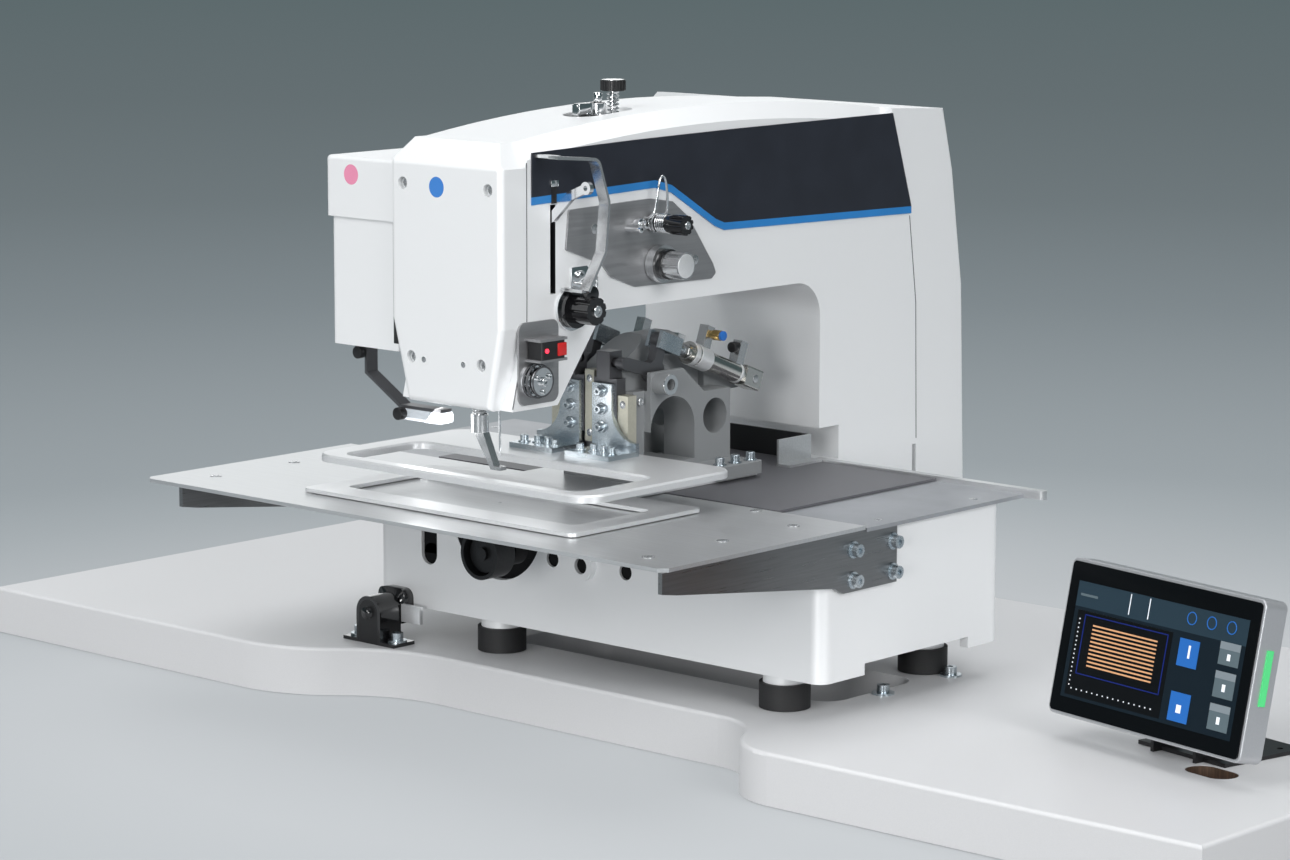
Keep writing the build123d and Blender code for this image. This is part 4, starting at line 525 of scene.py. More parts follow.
class Shaper:
    """Collects bmesh shapes of one piece and makes its object.

    Points and directions are in metres, and sizes are in millimetres.
    """

    SHARP_ANGLE = 0.7
    TUBE_SOFT = 0.25
    TUBE_STEPS = 40
    WASHER_SIDES = 28
    WASHER_SHARE = 0.22
    WASHER_RIM_SHARE = 0.05
    HEAD_SIDES = 24
    CHAMFER_SHARE = 0.12
    CHAMFER_RISE_SHARE = 0.1
    SOCKET_SHARE = 0.52
    SOCKET_DEPTH_SHARE = 0.5
    SUNK_FOOT_SHARE = 0.8
    SUNK_DEPTH_SHARE = 0.42
    SUNK_RIM_SHARE = 0.06
    SUNK_PROUD_SHARE = 0.12
    CROSS_LIFT_SHARE = 0.01
    CROSS_SHARES = (0.55, 0.1, 0.04)
    COIL_SIDES = 8
    COIL_STEPS = 20

    def __init__(self) -> None:
        """Start with an empty mesh."""
        self.bm = bmesh.new()

    def _rim(self, faces: Iterable[bmesh.types.BMFace], size: float, steps: int = 2) -> None:
        """Round the sharp outer edges of some faces.

        Args:
            faces: faces whose edges are looked at.
            size: width of the rounding, in metres, or zero for none.
            steps: segments of the rounding.
        """
        if size <= 0:
            return
        edges = {
            e for f in faces for e in f.edges
            if e.is_manifold and e.calc_face_angle(0) > self.SHARP_ANGLE
        }
        bmesh.ops.bevel(
            self.bm, geom=list(edges), offset=size, offset_type="OFFSET", affect="EDGES",
            segments=steps, profile=0.5, material=-1,
        )

    def _cone(
        self, foot: Vector, axis: Vector, radius: float, length: float, rim: float, sides: int,
        top: float,
    ) -> None:
        """Add a drum or a cone, with its sizes in metres.

        Args:
            foot: middle of the lower end.
            axis: direction of the drum, of unit length.
            radius: radius at the foot.
            length: length along the axis.
            rim: size of the rounded rims.
            sides: number of sides.
            top: radius at the far end.
        """
        made = bmesh.ops.create_cone(
            self.bm, cap_ends=True, segments=sides, radius1=radius, radius2=top, depth=length,
            matrix=turned_to(foot + axis * (length / 2), axis),
        )
        self._rim({f for v in made["verts"] for f in v.link_faces if len(f.verts) > 4}, rim)

    def drum(self, foot: Vector, axis: Vector, sizes: Turned) -> None:
        """Add a round drum, or a prism where it has few sides.

        Args:
            foot: point on the axis that the start is counted from.
            axis: direction of the drum.
            sizes: sizes of the drum.
        """
        axis = axis.normalized()
        radius = sizes.radius * MM
        start = foot + axis * (sizes.start * MM)
        self._cone(start, axis, radius, sizes.length * MM, sizes.rim * MM, sizes.sides, radius)

    def tube(self, foot: Vector, axis: Vector, sizes: Ring) -> None:
        """Add a short tube with softly broken rims.

        Args:
            foot: point on the axis that the start is counted from.
            axis: direction of the tube, of unit length.
            sizes: sizes of the tube.
        """
        outer, inner, length = sizes.outer * MM, sizes.inner * MM, sizes.length * MM
        soft = min(self.TUBE_SOFT * MM, length / 5, (outer - inner) / 3)
        line = (
            (inner, 0), (outer - soft, 0), (outer, soft), (outer, length - soft),
            (outer - soft, length), (inner, length),
        )
        start = foot + axis * (sizes.start * MM)
        place = turned_to(start, axis)
        verts = [self.bm.verts.new(place @ Vector((r, 0, z))) for r, z in line]
        edges = [self.bm.edges.new((a, b)) for a, b in zip(verts, verts[1:] + verts[:1])]
        bmesh.ops.spin(
            self.bm, geom=edges, cent=start, axis=axis, angle=2 * math.pi, steps=self.TUBE_STEPS,
            use_merge=True, use_duplicate=False,
        )

    def block(
        self, low: Vector, high: Vector, rim: float = 0.0, turn: Optional[Matrix] = None
    ) -> None:
        """Add a box between two corners, turned about its own middle if asked.

        Args:
            low: lowest corner.
            high: highest corner.
            rim: size of the rounded edges.
            turn: rotation about the middle.
        """
        size = Matrix.Diagonal((*(high - low), 1.0))
        place = Matrix.Translation((low + high) / 2) @ (turn or Matrix.Identity(4)) @ size
        made = bmesh.ops.create_cube(self.bm, size=1.0, matrix=place)
        self._rim({f for v in made["verts"] for f in v.link_faces}, rim * MM)

    def brick(self, anchor: Vector, sizes: Block) -> None:
        """Add a box by its corners' distances from an anchor."""
        self.block(anchor + mm(*sizes.low), anchor + mm(*sizes.high), sizes.rim)

    def screw(self, foot: Vector, axis: Vector, sizes: Cap) -> None:
        """Add a cap screw with a hexagon socket, on a washer where it has one.

        Args:
            foot: point on the seat.
            axis: direction the head stands.
            sizes: sizes of the head and the washer.
        """
        axis = axis.normalized()
        radius, height, washer = sizes.radius * MM, sizes.height * MM, sizes.washer * MM
        if washer > 0:
            thick, rim = height * self.WASHER_SHARE, height * self.WASHER_RIM_SHARE
            self._cone(foot, axis, washer, thick, rim, self.WASHER_SIDES, washer)
            foot = foot + axis * thick
        place = turned_to(foot + axis * (height / 2), axis)
        made = bmesh.ops.create_cone(
            self.bm, cap_ends=True, segments=self.HEAD_SIDES, radius1=radius, radius2=radius,
            depth=height, matrix=place,
        )
        caps = [f for v in made["verts"] for f in v.link_faces if len(f.verts) > 4]
        head = max(caps, key=lambda f: f.calc_center_median().dot(axis))
        bmesh.ops.inset_region(
            self.bm, faces=[head], thickness=radius * self.CHAMFER_SHARE,
            depth=radius * self.CHAMFER_RISE_SHARE,
        )
        flat_share = 1 - self.CHAMFER_SHARE - self.SOCKET_SHARE
        bmesh.ops.inset_region(self.bm, faces=[head], thickness=radius * flat_share, depth=0.0)
        self._hexagon(head, place.to_3x3(), radius * self.SOCKET_SHARE)
        deep = bmesh.ops.extrude_discrete_faces(self.bm, faces=[head])["faces"][0]
        depth = height * self.SOCKET_DEPTH_SHARE
        bmesh.ops.translate(self.bm, vec=-axis * depth, verts=list(deep.verts))

    def _hexagon(self, face: bmesh.types.BMFace, turn: Matrix, radius: float) -> None:
        """Move a round face's corners onto a hexagon.

        Args:
            face: face of the screw's socket.
            turn: rotation of the screw.
            radius: radius of the hexagon's corners, in metres.
        """
        middle = face.calc_center_median()
        back = turn.inverted()
        for corner in face.verts:
            flat = back @ (corner.co - middle)
            angle = math.atan2(flat.y, flat.x) % (math.pi / 3) - math.pi / 6
            reach = radius * math.cos(math.pi / 6) / math.cos(angle)
            corner.co = middle + turn @ (Vector((flat.x, flat.y, 0)).normalized() * reach)

    def sunk(
        self, foot: Vector, axis: Vector, radius: float, proud: float = SUNK_PROUD_SHARE
    ) -> None:
        """Add a countersunk screw head with a cross slot, just proud of its plate.

        Args:
            foot: point on the plate.
            axis: way the head faces.
            radius: head radius.
            proud: how far the head stands out, as a share of its radius.
        """
        axis = axis.normalized()
        size = radius * MM
        depth = self.SUNK_DEPTH_SHARE
        self._cone(
            foot - axis * size * (depth - proud), axis, size * self.SUNK_FOOT_SHARE, size * depth,
            size * self.SUNK_RIM_SHARE, self.HEAD_SIDES, size,
        )
        across = axis.orthogonal().normalized()
        middle = foot + axis * size * (proud + self.CROSS_LIFT_SHARE)
        reach = Vector(self.CROSS_SHARES) * size
        for arm in (across, axis.cross(across)):
            turn = Matrix((arm, axis.cross(arm), axis)).transposed().to_4x4()
            self.block(middle - reach, middle + reach, 0.0, turn)

    def wire(self, points: Sequence[Vector], radius: float, cyclic: bool = False) -> None:
        """Add a bent wire along a smooth line.

        Args:
            points: control points of the line.
            radius: wire radius.
            cyclic: whether the line closes on itself.
        """
        line = bpy.data.curves.new("wire_line", "CURVE")
        line.dimensions = "3D"
        line.bevel_depth = radius * MM
        line.bevel_resolution = 4
        line.resolution_u = 8
        line.use_fill_caps = True
        spline = line.splines.new("NURBS")
        spline.points.add(len(points) - 1)
        for spot, place in zip(spline.points, points):
            spot.co = (*place, 1.0)
        spline.use_cyclic_u = cyclic
        spline.use_endpoint_u = not cyclic
        spline.order_u = 3
        holder = bpy.data.objects.new("wire_holder", line)
        bpy.context.scene.collection.objects.link(holder)
        bpy.context.view_layer.update()
        shown = holder.evaluated_get(bpy.context.evaluated_depsgraph_get())
        made = bpy.data.meshes.new_from_object(shown)
        self.bm.from_mesh(made)
        bpy.data.objects.remove(holder)
        bpy.data.curves.remove(line)
        bpy.data.meshes.remove(made)

    def spring(self, foot: Vector, axis: Vector, sizes: Coil) -> None:
        """Add a coil spring by a rising spin of a small circle.

        Args:
            foot: point on the axis that the start is counted from.
            axis: direction of the spring.
            sizes: sizes of the spring.
        """
        axis = axis.normalized()
        side = axis.orthogonal().normalized()
        start = foot + axis * (sizes.start * MM)
        ring = bmesh.ops.create_circle(
            self.bm, cap_ends=False, segments=self.COIL_SIDES, radius=sizes.wire * MM,
            matrix=turned_to(start + side * (sizes.radius * MM), axis.cross(side)),
        )
        steps = sizes.turns * self.COIL_STEPS
        edges = list({e for v in ring["verts"] for e in v.link_edges})
        bmesh.ops.spin(
            self.bm, geom=edges, cent=start, axis=axis, dvec=axis * (sizes.length * MM / steps),
            angle=2 * math.pi * sizes.turns, steps=steps, use_duplicate=False,
        )

    def slab(self, outline: Sequence[Vector], way: Vector, rim: float = 0.0) -> None:
        """Add a sheet from a flat outline, thickened one way.

        Args:
            outline: corners of the face, in order.
            way: thickness and its direction, in metres.
            rim: size of the rounded edges.
        """
        face = self.bm.faces.new([self.bm.verts.new(p) for p in outline])
        made = bmesh.ops.extrude_face_region(self.bm, geom=[face])
        fresh = [g for g in made["geom"] if isinstance(g, bmesh.types.BMVert)]
        bmesh.ops.translate(self.bm, vec=way, verts=fresh)
        self._rim({f for v in fresh for f in v.link_faces}, rim * MM)

    def take(self, node: str) -> None:
        """Add a merged copy of a solid's mesh."""
        self.bm.from_mesh(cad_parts[node].data)
        bmesh.ops.remove_doubles(self.bm, verts=self.bm.verts, dist=MERGE_REACH)

    def cut_above(self, height: float) -> None:
        """Cut away what lies above a level and close the cut.

        Args:
            height: level of the cut along Z, in metres.
        """
        geom = [*self.bm.verts, *self.bm.edges, *self.bm.faces]
        made = bmesh.ops.bisect_plane(
            self.bm, geom=geom, plane_co=Z * height, plane_no=Z, clear_outer=True,
            clear_inner=False,
        )
        rim = [g for g in made["geom_cut"] if isinstance(g, bmesh.types.BMEdge)]
        bmesh.ops.holes_fill(self.bm, edges=rim)

    def done(
        self, name: str, body: str, slot: str, finish: Finish, crease: float = 32.0
    ) -> bpy.types.Object:
        """Make the object, dress it and set it on its body.

        Args:
            name: name of the piece.
            body: body that it rides on.
            slot: material slot of the record; not used.
            finish: finish of the piece.
            crease: angle in degrees above which edges stay sharp.

        Returns:
            The finished object.
        """
        bmesh.ops.remove_doubles(self.bm, verts=self.bm.verts, dist=DOUBLE_REACH)
        bmesh.ops.recalc_face_normals(self.bm, faces=self.bm.faces)
        mesh = bpy.data.meshes.new(name)
        self.bm.to_mesh(mesh)
        self.bm.free()
        mesh.shade_smooth()
        mesh.set_sharp_from_angle(angle=math.radians(crease))
        mesh.materials.append(finish.material())
        piece = bpy.data.objects.new(name, mesh)
        bpy.context.scene.collection.objects.link(piece)
        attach(piece, body)
        LOG.info("piece %s on %s: %d faces", name, body, len(mesh.polygons))
        return piece


@dataclass
class ClampFastenings:
    """Screws and details of the clamp, its brackets, arch and cylinders."""

    plate_screw: Cap = Cap(3.4, 4.2, 5.0)
    sheet: float = 4.0
    column_inset: float = 10.0
    column_rise: float = 6.0
    column_shares: tuple[float, ...] = (0.26, 0.52, 0.78)
    flange_shares: tuple[Pair, ...] = ((0.14, 0.30), (0.38, 0.42), (0.62, 0.42), (0.86, 0.30))
    rail_offset: float = 35.9
    rail_drop: float = 18.0
    rail_inset: float = 7.0
    rail_ring: Turned = Turned(3.1, 0.3, 0.1, 28)
    rail_head: float = 2.6
    rail_head_lift: float = 0.2
    front_screw: Cap = Cap(3.4, 2.6)
    front_reach: float = 38.0
    front_spots: tuple[Pair, ...] = ((-91.0, 206.0), (-91.0, 256.0))
    bush_ring: Ring = Ring(8.4, 4.7, 0.8)
    bush_reach: float = 57.9
    bush_spot: Pair = (-76.0, 270.0)
    base_screw: Cap = Cap(3.8, 5.2, 5.4)
    base_height: float = 10.0
    base_shares: Pair = (0.06, 0.94)
    base_rows: Triple = (-28.0, -9.0, 10.0)
    rear_pivot: Triple = (-40.0, 46.0, 260.0)
    front_pivot: Triple = (-40.0, -63.0, 302.0)
    cylinder_offset: float = 34.5
    sleeves: tuple[Ring, ...] = (
        Ring(9.8, 9.4, 15.0, 57.0), Ring(9.8, 9.4, 5.0, 74.0), Ring(8.4, 7.9, 2.4, 15.0),
    )
    pin_end: Turned = Turned(3.4, 0.6, 0.2, 28, 8.4)
    nose_nut: Turned = Turned(5.2, 3.2, 0.4, 6, 85.0)
    banjo_spot: Pair = (64.0, 20.0)
    banjo_barrel: tuple[Turned, ...] = (
        Turned(3.4, 4.0, 0.4, 6, 4.4), Turned(4.2, 9.0, 0.6, 28, 8.2),
    )
    banjo_ring: Turned = Turned(4.0, 2.6, 0.5, 28, 17.0)
    elbow_spot: Pair = (19.0, 22.0)
    collar: Turned = Turned(4.4, 7.0, 0.6, 28, 4.2)

    def build(self) -> None:
        """Make every screw group of the clamp."""
        self.bracket_screws()
        self.rail_screws()
        self.arch_screws()
        self.cylinder_pieces()

    def bracket_screws(self) -> None:
        """Column of screws on each clamp plate and a row on each flange."""
        for side, sign in (("left", -1), ("right", 1)):
            low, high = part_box(f"clamp_bracket_{side}")
            inner = high.x if sign < 0 else low.x
            column = inner + sign * self.column_inset * MM
            shape = Shaper()
            for share in self.column_shares:
                level = between(low.z, high.z, share) + self.column_rise * MM
                seat = Vector((column, high.y - self.sheet * MM, level))
                shape.screw(seat, -Y, self.plate_screw)
            for across, deep in self.flange_shares:
                x, y = between(low.x, high.x, across), between(low.y, high.y, deep)
                shape.screw(Vector((x, y, low.z + self.sheet * MM)), Z, self.plate_screw)
            shape.done(f"clamp_screws_{side}", "clamp", "zinc", ZINC)

    def rail_screws(self) -> None:
        """Cross-head screws on the rails, and the arch's front screws and bush faces."""
        low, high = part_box("guide_rails")
        middle = (low.x + high.x) / 2
        offset, side_top = self.rail_offset * MM, high.z - self.rail_drop * MM
        shape = Shaper()
        for x, top in ((middle, high.z), (middle - offset, side_top), (middle + offset, side_top)):
            for z in (low.z + self.rail_inset * MM, top - self.rail_inset * MM):
                seat = Vector((x, low.y, z))
                shape.drum(seat, -Y, self.rail_ring)
                shape.sunk(seat - Y * (self.rail_head_lift * MM), -Y, self.rail_head)
        shape.done("rail_screws", "y_carriage", "steel", STEEL)
        shape = Shaper()
        for side in (-1, 1):
            for y, z in self.front_spots:
                seat = off_face(middle, side * self.front_reach, y, z)
                shape.screw(seat, X * side, self.front_screw)
        shape.done("arch_front_screws", "y_carriage", "steel", STEEL)
        shape = Shaper()
        for side in (-1, 1):
            seat = off_face(middle, side * self.bush_reach, *self.bush_spot)
            shape.tube(seat, X * side, self.bush_ring)
        shape.done("bush_faces", "y_carriage", "steel", CHROME)

    def arch_screws(self) -> None:
        """Cap screws on the arch's base."""
        low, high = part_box("clamp_arch")
        top = low.z + self.base_height * MM
        shape = Shaper()
        for share in self.base_shares:
            for y in self.base_rows:
                seat = Vector((between(low.x, high.x, share), y * MM, top))
                shape.screw(seat, Z, self.base_screw)
        shape.done("arch_base_screws", "y_carriage", "zinc", ZINC)

    def cylinder_pieces(self) -> None:
        """Bright nose sleeves, pin ends, banjo, blue ring and collars of the air cylinders."""
        rear = mm(*self.rear_pivot)
        way = (mm(*self.front_pivot) - rear).normalized()
        over = X.cross(way)
        over = over if over.z > 0 else -over
        elbow = (way * self.elbow_spot[0] + over * self.elbow_spot[1]) * MM
        banjo = (way * self.banjo_spot[0] + over * self.banjo_spot[1]) * MM
        sleeve, steel, black = Shaper(), Shaper(), Shaper()
        for side in (-1, 1):
            base = rear + X * (side * self.cylinder_offset * MM)
            for ring in self.sleeves:
                sleeve.tube(base, way, ring)
            steel.drum(base, X * side, self.pin_end)
            steel.drum(base, way, self.nose_nut)
            black.drum(base + elbow, -Y, self.collar)
        sleeve.done("cylinder_sleeves", "cylinders", "cylinder_steel", CLAMP_ALU)
        steel.done("cylinder_pin_ends", "cylinders", "steel", STEEL)
        seat = rear + X * (self.cylinder_offset * MM) + banjo
        brass, blue = Shaper(), Shaper()
        for part in self.banjo_barrel:
            brass.drum(seat, X, part)
        brass.done("banjo_barrel", "cylinders", "steel", BRASS)
        blue.drum(seat, X, self.banjo_ring)
        blue.done("banjo_ring", "cylinders", "black_plastic", BLUE_RING)
        black.done("fitting_collars", "cylinders", "black_plastic", BLACK)


@dataclass
class PlateFastenings:
    """Countersunk screws of the work plates."""

    front_head: float = 5.0
    front_proud_share: float = 0.08
    front_spots: tuple[Pair, ...] = (
        (-293, -282), (-296, -193), (-300, -118), (195, -299), (194, -215), (194, -133),
        (132, -104),
    )
    side_head: float = 3.5
    side_proud_share: float = 0.02
    side_spots: tuple[Pair, ...] = ((218, -60), (218, 60), (-310, -60), (-310, 60))

    def build(self) -> None:
        """Set the screws nearly flush in their plates."""
        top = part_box("front_plate")[1].z
        shape = Shaper()
        for x, y in self.front_spots:
            seat = Vector((x * MM, y * MM, top))
            shape.sunk(seat, Z, self.front_head, self.front_proud_share)
        shape.done("front_plate_screws", "machine", "steel", STEEL)
        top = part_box("side_cover_plates")[1].z
        shape = Shaper()
        for x, y in self.side_spots:
            seat = Vector((x * MM, y * MM, top))
            shape.sunk(seat, Z, self.side_head, self.side_proud_share)
        shape.done("side_plate_screws", "machine", "steel", STEEL)


@dataclass
class ThreadParts:
    """Posts, wires and springs along the thread's way on the arm."""

    wire: float = 1.0
    guide_loop: tuple[Triple, ...] = (
        (0, -96, 404), (8, -96, 404), (9, -92, 420), (9, -90, 434), (9, -86, 438), (9, -82, 434),
        (9, -80, 420), (8, -80, 404), (0, -80, 404),
    )
    guide_posts: tuple[tuple[Pair, Turned], ...] = (
        ((-118, 397), Turned(2.2, 16.0, 0.4)), ((-106, 400), Turned(5.0, 6.0, 0.6)),
        ((-106, 400), Turned(3.0, 5.0, 0.6, start=6.0)),
    )
    plate_head: float = 4.0
    plate_spots: tuple[Pair, ...] = ((-155, 400), (-37, 366))
    tension_ring: Turned = Turned(12.2, 6.0, 0.5, 40, 8.4)
    tension_cap: Turned = Turned(9.6, 0.6, 0.3, 40, -0.2)
    check_screw: Cap = Cap(4.6, 1.6)
    check_wing: Turned = Turned(6.5, 6.0, 1.2, 32, -9.0)
    check_wing_rise: float = 13.0
    check_seat: Ring = Ring(17.4, 15.3, 2.4)
    pretension_discs: tuple[Ring, ...] = (Ring(7.7, 6.9, 2.4, 1.0), Ring(7.7, 6.9, 2.4, 4.4))
    pretension_coil: Coil = Coil(7.3, 0.6, 5, 10.0, 8.5)
    pretension_screw: Cap = Cap(3.2, 1.4)
    disc_rings: tuple[Ring, ...] = (Ring(13.5, 12.8, 1.8, 2.4), Ring(13.5, 12.8, 1.8, 6.2))
    disc_face_ring: Ring = Ring(12.0, 10.8, 0.5, -0.2)
    disc_screw: Cap = Cap(3.4, 2.6)
    disc_small_screw: Cap = Cap(2.1, 1.6)
    disc_small_reach: float = 7.6
    disc_small_angles: Triple = (30.0, 150.0, 270.0)
    # Two sheets on the slot's walls and a strip on the side film where the slot runs on: painted
    # shade of the slot.
    slot_shade_sheets: tuple[Block, ...] = (
        Block((-30, -202.95, 353.2), (-0.2, -202.75, 421.8)),
        Block((-30, -197.25, 353.2), (-0.2, -197.05, 421.8)),
        Block((1.2, -203, 423), (1.4, -197, 438)),
    )
    slot_dot: Turned = Turned(2.3, 0.4, 0.1, 24, -0.2)
    slot_dot_spot: Pair = (-171, 383)
    slot_cap: Block = Block((1.2, -204, 436), (2.4, -195.6, 441), 0.4)
    low_plate: tuple[Pair, ...] = ((-181, 357), (-152, 352), (-150, 362), (-163, 372), (-180, 372))
    low_plate_thick: float = 1.4
    low_plate_rim: float = 0.3
    low_screw: Cap = Cap(3.4, 3.0)
    low_screw_spots: tuple[Pair, ...] = ((-172, 366), (-157, 359))
    low_loop: tuple[Triple, ...] = (
        (1, -176, 360), (9, -176, 360), (12, -170, 355), (12, -163, 355), (9, -160, 362),
        (1, -160, 362),
    )

    def build(self) -> None:
        """Make the small thread guides and trims."""
        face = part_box("arm_casting")[1].x
        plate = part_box("tension_plate")[1].x
        self.plate_guides(plate)
        self.tension_trims(plate)
        self.slot_trim(face)
        self.low_guides(face)
        self.knob_trims(face, plate)
        self.disc_trims()

    def plate_guides(self, plate: float) -> None:
        """Wire loop, posts and screws on the tension plate.

        Args:
            plate: place of the tension plate's face along X.
        """
        shape = Shaper()
        shape.wire([off_face(plate, *spot) for spot in self.guide_loop], self.wire)
        for spot, post in self.guide_posts:
            shape.drum(off_face(plate, 0, *spot), X, post)
        shape.done("thread_guides", "machine", "steel", CHROME)
        shape = Shaper()
        for spot in self.plate_spots:
            shape.sunk(off_face(plate, 0, *spot), X, self.plate_head)
        shape.done("tension_plate_screws", "machine", "steel", STEEL)

    def tension_trims(self, plate: float) -> None:
        """Ring and cap of the main tension knob, screw and wing of the check spring knob.

        Args:
            plate: place of the tension plate's face along X.
        """
        end = right_end("main_tension_knob")
        shape = Shaper()
        shape.drum(Vector((plate, end.y, end.z)), X, self.tension_ring)
        shape.done("main_tension_ring", "main_tension", "black_plastic", BLACK_GLOSS)
        shape = Shaper()
        shape.drum(end, X, self.tension_cap)
        shape.done("main_tension_cap", "main_tension", "steel", CLAMP_ALU)
        end = right_end("check_spring_knob")
        shape = Shaper()
        shape.screw(end, X, self.check_screw)
        shape.done("check_spring_screw", "check_spring", "steel", CHROME)
        shape = Shaper()
        shape.drum(end + Z * (self.check_wing_rise * MM), X, self.check_wing)
        shape.done("check_spring_wing", "check_spring", "black_plastic", BLACK_GLOSS)

    def knob_trims(self, face: float, plate: float) -> None:
        """Bright seat of the check spring knob, discs and spring of the pretension.

        Args:
            face: place of the arm's right face along X.
            plate: place of the tension plate's face along X.
        """
        end = right_end("check_spring_knob")
        shape = Shaper()
        shape.tube(Vector((face, end.y, end.z)), X, self.check_seat)
        shape.done("check_spring_seat", "machine", "steel", CHROME)
        end = right_end("pretension_knob")
        foot = Vector((plate, end.y, end.z))
        shape = Shaper()
        for disc in self.pretension_discs:
            shape.tube(foot, X, disc)
        shape.spring(foot, X, self.pretension_coil)
        shape.screw(end, X, self.pretension_screw)
        shape.done("pretension_trim", "pretension", "steel", CHROME)

    def disc_trims(self) -> None:
        """Rings and small screws on the thread clamp disc."""
        end = right_end("thread_clamp_disc")
        foot = Vector((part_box("thread_clamp_disc")[0].x, end.y, end.z))
        shape = Shaper()
        for ring in self.disc_rings:
            shape.tube(foot, X, ring)
        shape.tube(end, X, self.disc_face_ring)
        shape.done("clamp_disc_rings", "machine", "black_plastic", DARK_STEEL)
        shape = Shaper()
        shape.screw(end, X, self.disc_screw)
        for degrees in self.disc_small_angles:
            angle = math.radians(degrees)
            reach = (Y * math.cos(angle) + Z * math.sin(angle)) * (self.disc_small_reach * MM)
            shape.screw(end + reach, X, self.disc_small_screw)
        shape.done("clamp_disc_screws", "machine", "steel", CHROME)

    def slot_trim(self, face: float) -> None:
        """Painted shade in the take-up slot as black sheets on its walls and a strip on the side
        film, a black dot, and the slot's top on the side film.

        Args:
            face: place of the arm's right face along X.
        """
        shape = Shaper()
        for wall in self.slot_shade_sheets:
            shape.brick(X * face, wall)
        shape.drum(off_face(face, 0, *self.slot_dot_spot), X, self.slot_dot)
        shape.done("slot_shade_and_dot", "machine", "black_plastic", BLACK)
        shape = Shaper()
        shape.brick(X * face, self.slot_cap)
        shape.done("slot_cap", "machine", "steel", CHROME)

    def low_guides(self, face: float) -> None:
        """Small plate, screws and wire loop under the take-up guard.

        Args:
            face: place of the arm's right face along X.
        """
        shape = Shaper()
        outline = [off_face(face, 0, *spot) for spot in self.low_plate]
        shape.slab(outline, X * (self.low_plate_thick * MM), self.low_plate_rim)
        for spot in self.low_screw_spots:
            shape.screw(off_face(face, self.low_plate_thick, *spot), X, self.low_screw)
        shape.wire([off_face(face, *spot) for spot in self.low_loop], self.wire)
        shape.done("low_thread_guide", "machine", "steel", CHROME)


@dataclass
class SewingParts:
    """Spring and small screws at the needle and presser bars, and the lamp's light."""

    presser_coil: Coil = Coil(5.2, 0.7, 4, 9.0)
    presser_spot: Triple = (-60, -213, 254.4)
    needle_collar: Turned = Turned(4.4, 5.4, 0.6)
    needle_spot: Triple = (-38, -213, 260.2)
    needle_screw: Cap = Cap(2.0, 3.0)
    needle_screw_spot: Triple = (-38, -217.2, 262.9)
    light_inset: float = 2.0
    light_levels: Pair = (-0.3, 0.5)
    light_rim: float = 0.2
    arm_knob: Turned = Turned(5.0, 6.0, 0.6, 28)
    arm_knob_inset: float = 8.0
    arm_knob_z: float = 296.0
    head_knob: Turned = Turned(5.0, 7.0, 0.6, 28)
    head_knob_spot: Triple = (4, 0, 5)
    window_low: Triple = (-3, -9, 2)
    window_high: Triple = (1, 0.6, -2)
    window_rim: float = 0.6
    sensor_light: Turned = Turned(1.8, 1.6, 0.4, 20, -0.5)
    sensor_light_inset: float = 5.0

    def build(self) -> None:
        """Make the presser spring, needle clamp, lamp light, lamp knobs and sensor lights."""
        shape = Shaper()
        shape.spring(mm(*self.presser_spot), Z, self.presser_coil)
        shape.done("presser_spring", "presser", "steel", STEEL)
        shape = Shaper()
        shape.drum(mm(*self.needle_spot), Z, self.needle_collar)
        shape.screw(mm(*self.needle_screw_spot), -Y, self.needle_screw)
        shape.done("needle_clamp", "needle", "steel", CHROME)
        self.lamp_parts()
        self.sensor_parts()

    def lamp_parts(self) -> None:
        """Light under the lamp's head and the knobs of its bracket."""
        low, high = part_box("lamp_head")
        inset = self.light_inset
        under, over = (low.z + level * MM for level in self.light_levels)
        shape = Shaper()
        shape.block(
            Vector((low.x + inset * MM, low.y + inset * MM, under)),
            Vector((high.x - inset * MM, high.y - inset * MM, over)), self.light_rim,
        )
        shape.done("lamp_light", "machine", "lamp_clear", LAMP_LIGHT)
        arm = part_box("lamp_bracket")[0]
        shape = Shaper()
        seat = Vector((arm.x + self.arm_knob_inset * MM, arm.y, self.arm_knob_z * MM))
        shape.drum(seat, -Y, self.arm_knob)
        shape.drum(low + mm(*self.head_knob_spot), -Y, self.head_knob)
        shape.done("lamp_knobs", "machine", "black_plastic", BLACK)

    def sensor_parts(self) -> None:
        """Red window and small light of the thread sensor."""
        low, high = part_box("thread_sensor")
        shape = Shaper()
        shape.block(
            Vector((high.x, high.y, low.z)) + mm(*self.window_low), high + mm(*self.window_high),
            self.window_rim,
        )
        shape.done("sensor_window", "machine", "red_plastic", RED)
        shape = Shaper()
        spot = Vector((high.x, low.y + self.sensor_light_inset * MM, (low.z + high.z) / 2))
        shape.drum(spot, X, self.sensor_light)
        shape.done("sensor_light", "machine", "red_plastic", RED_LIGHT)


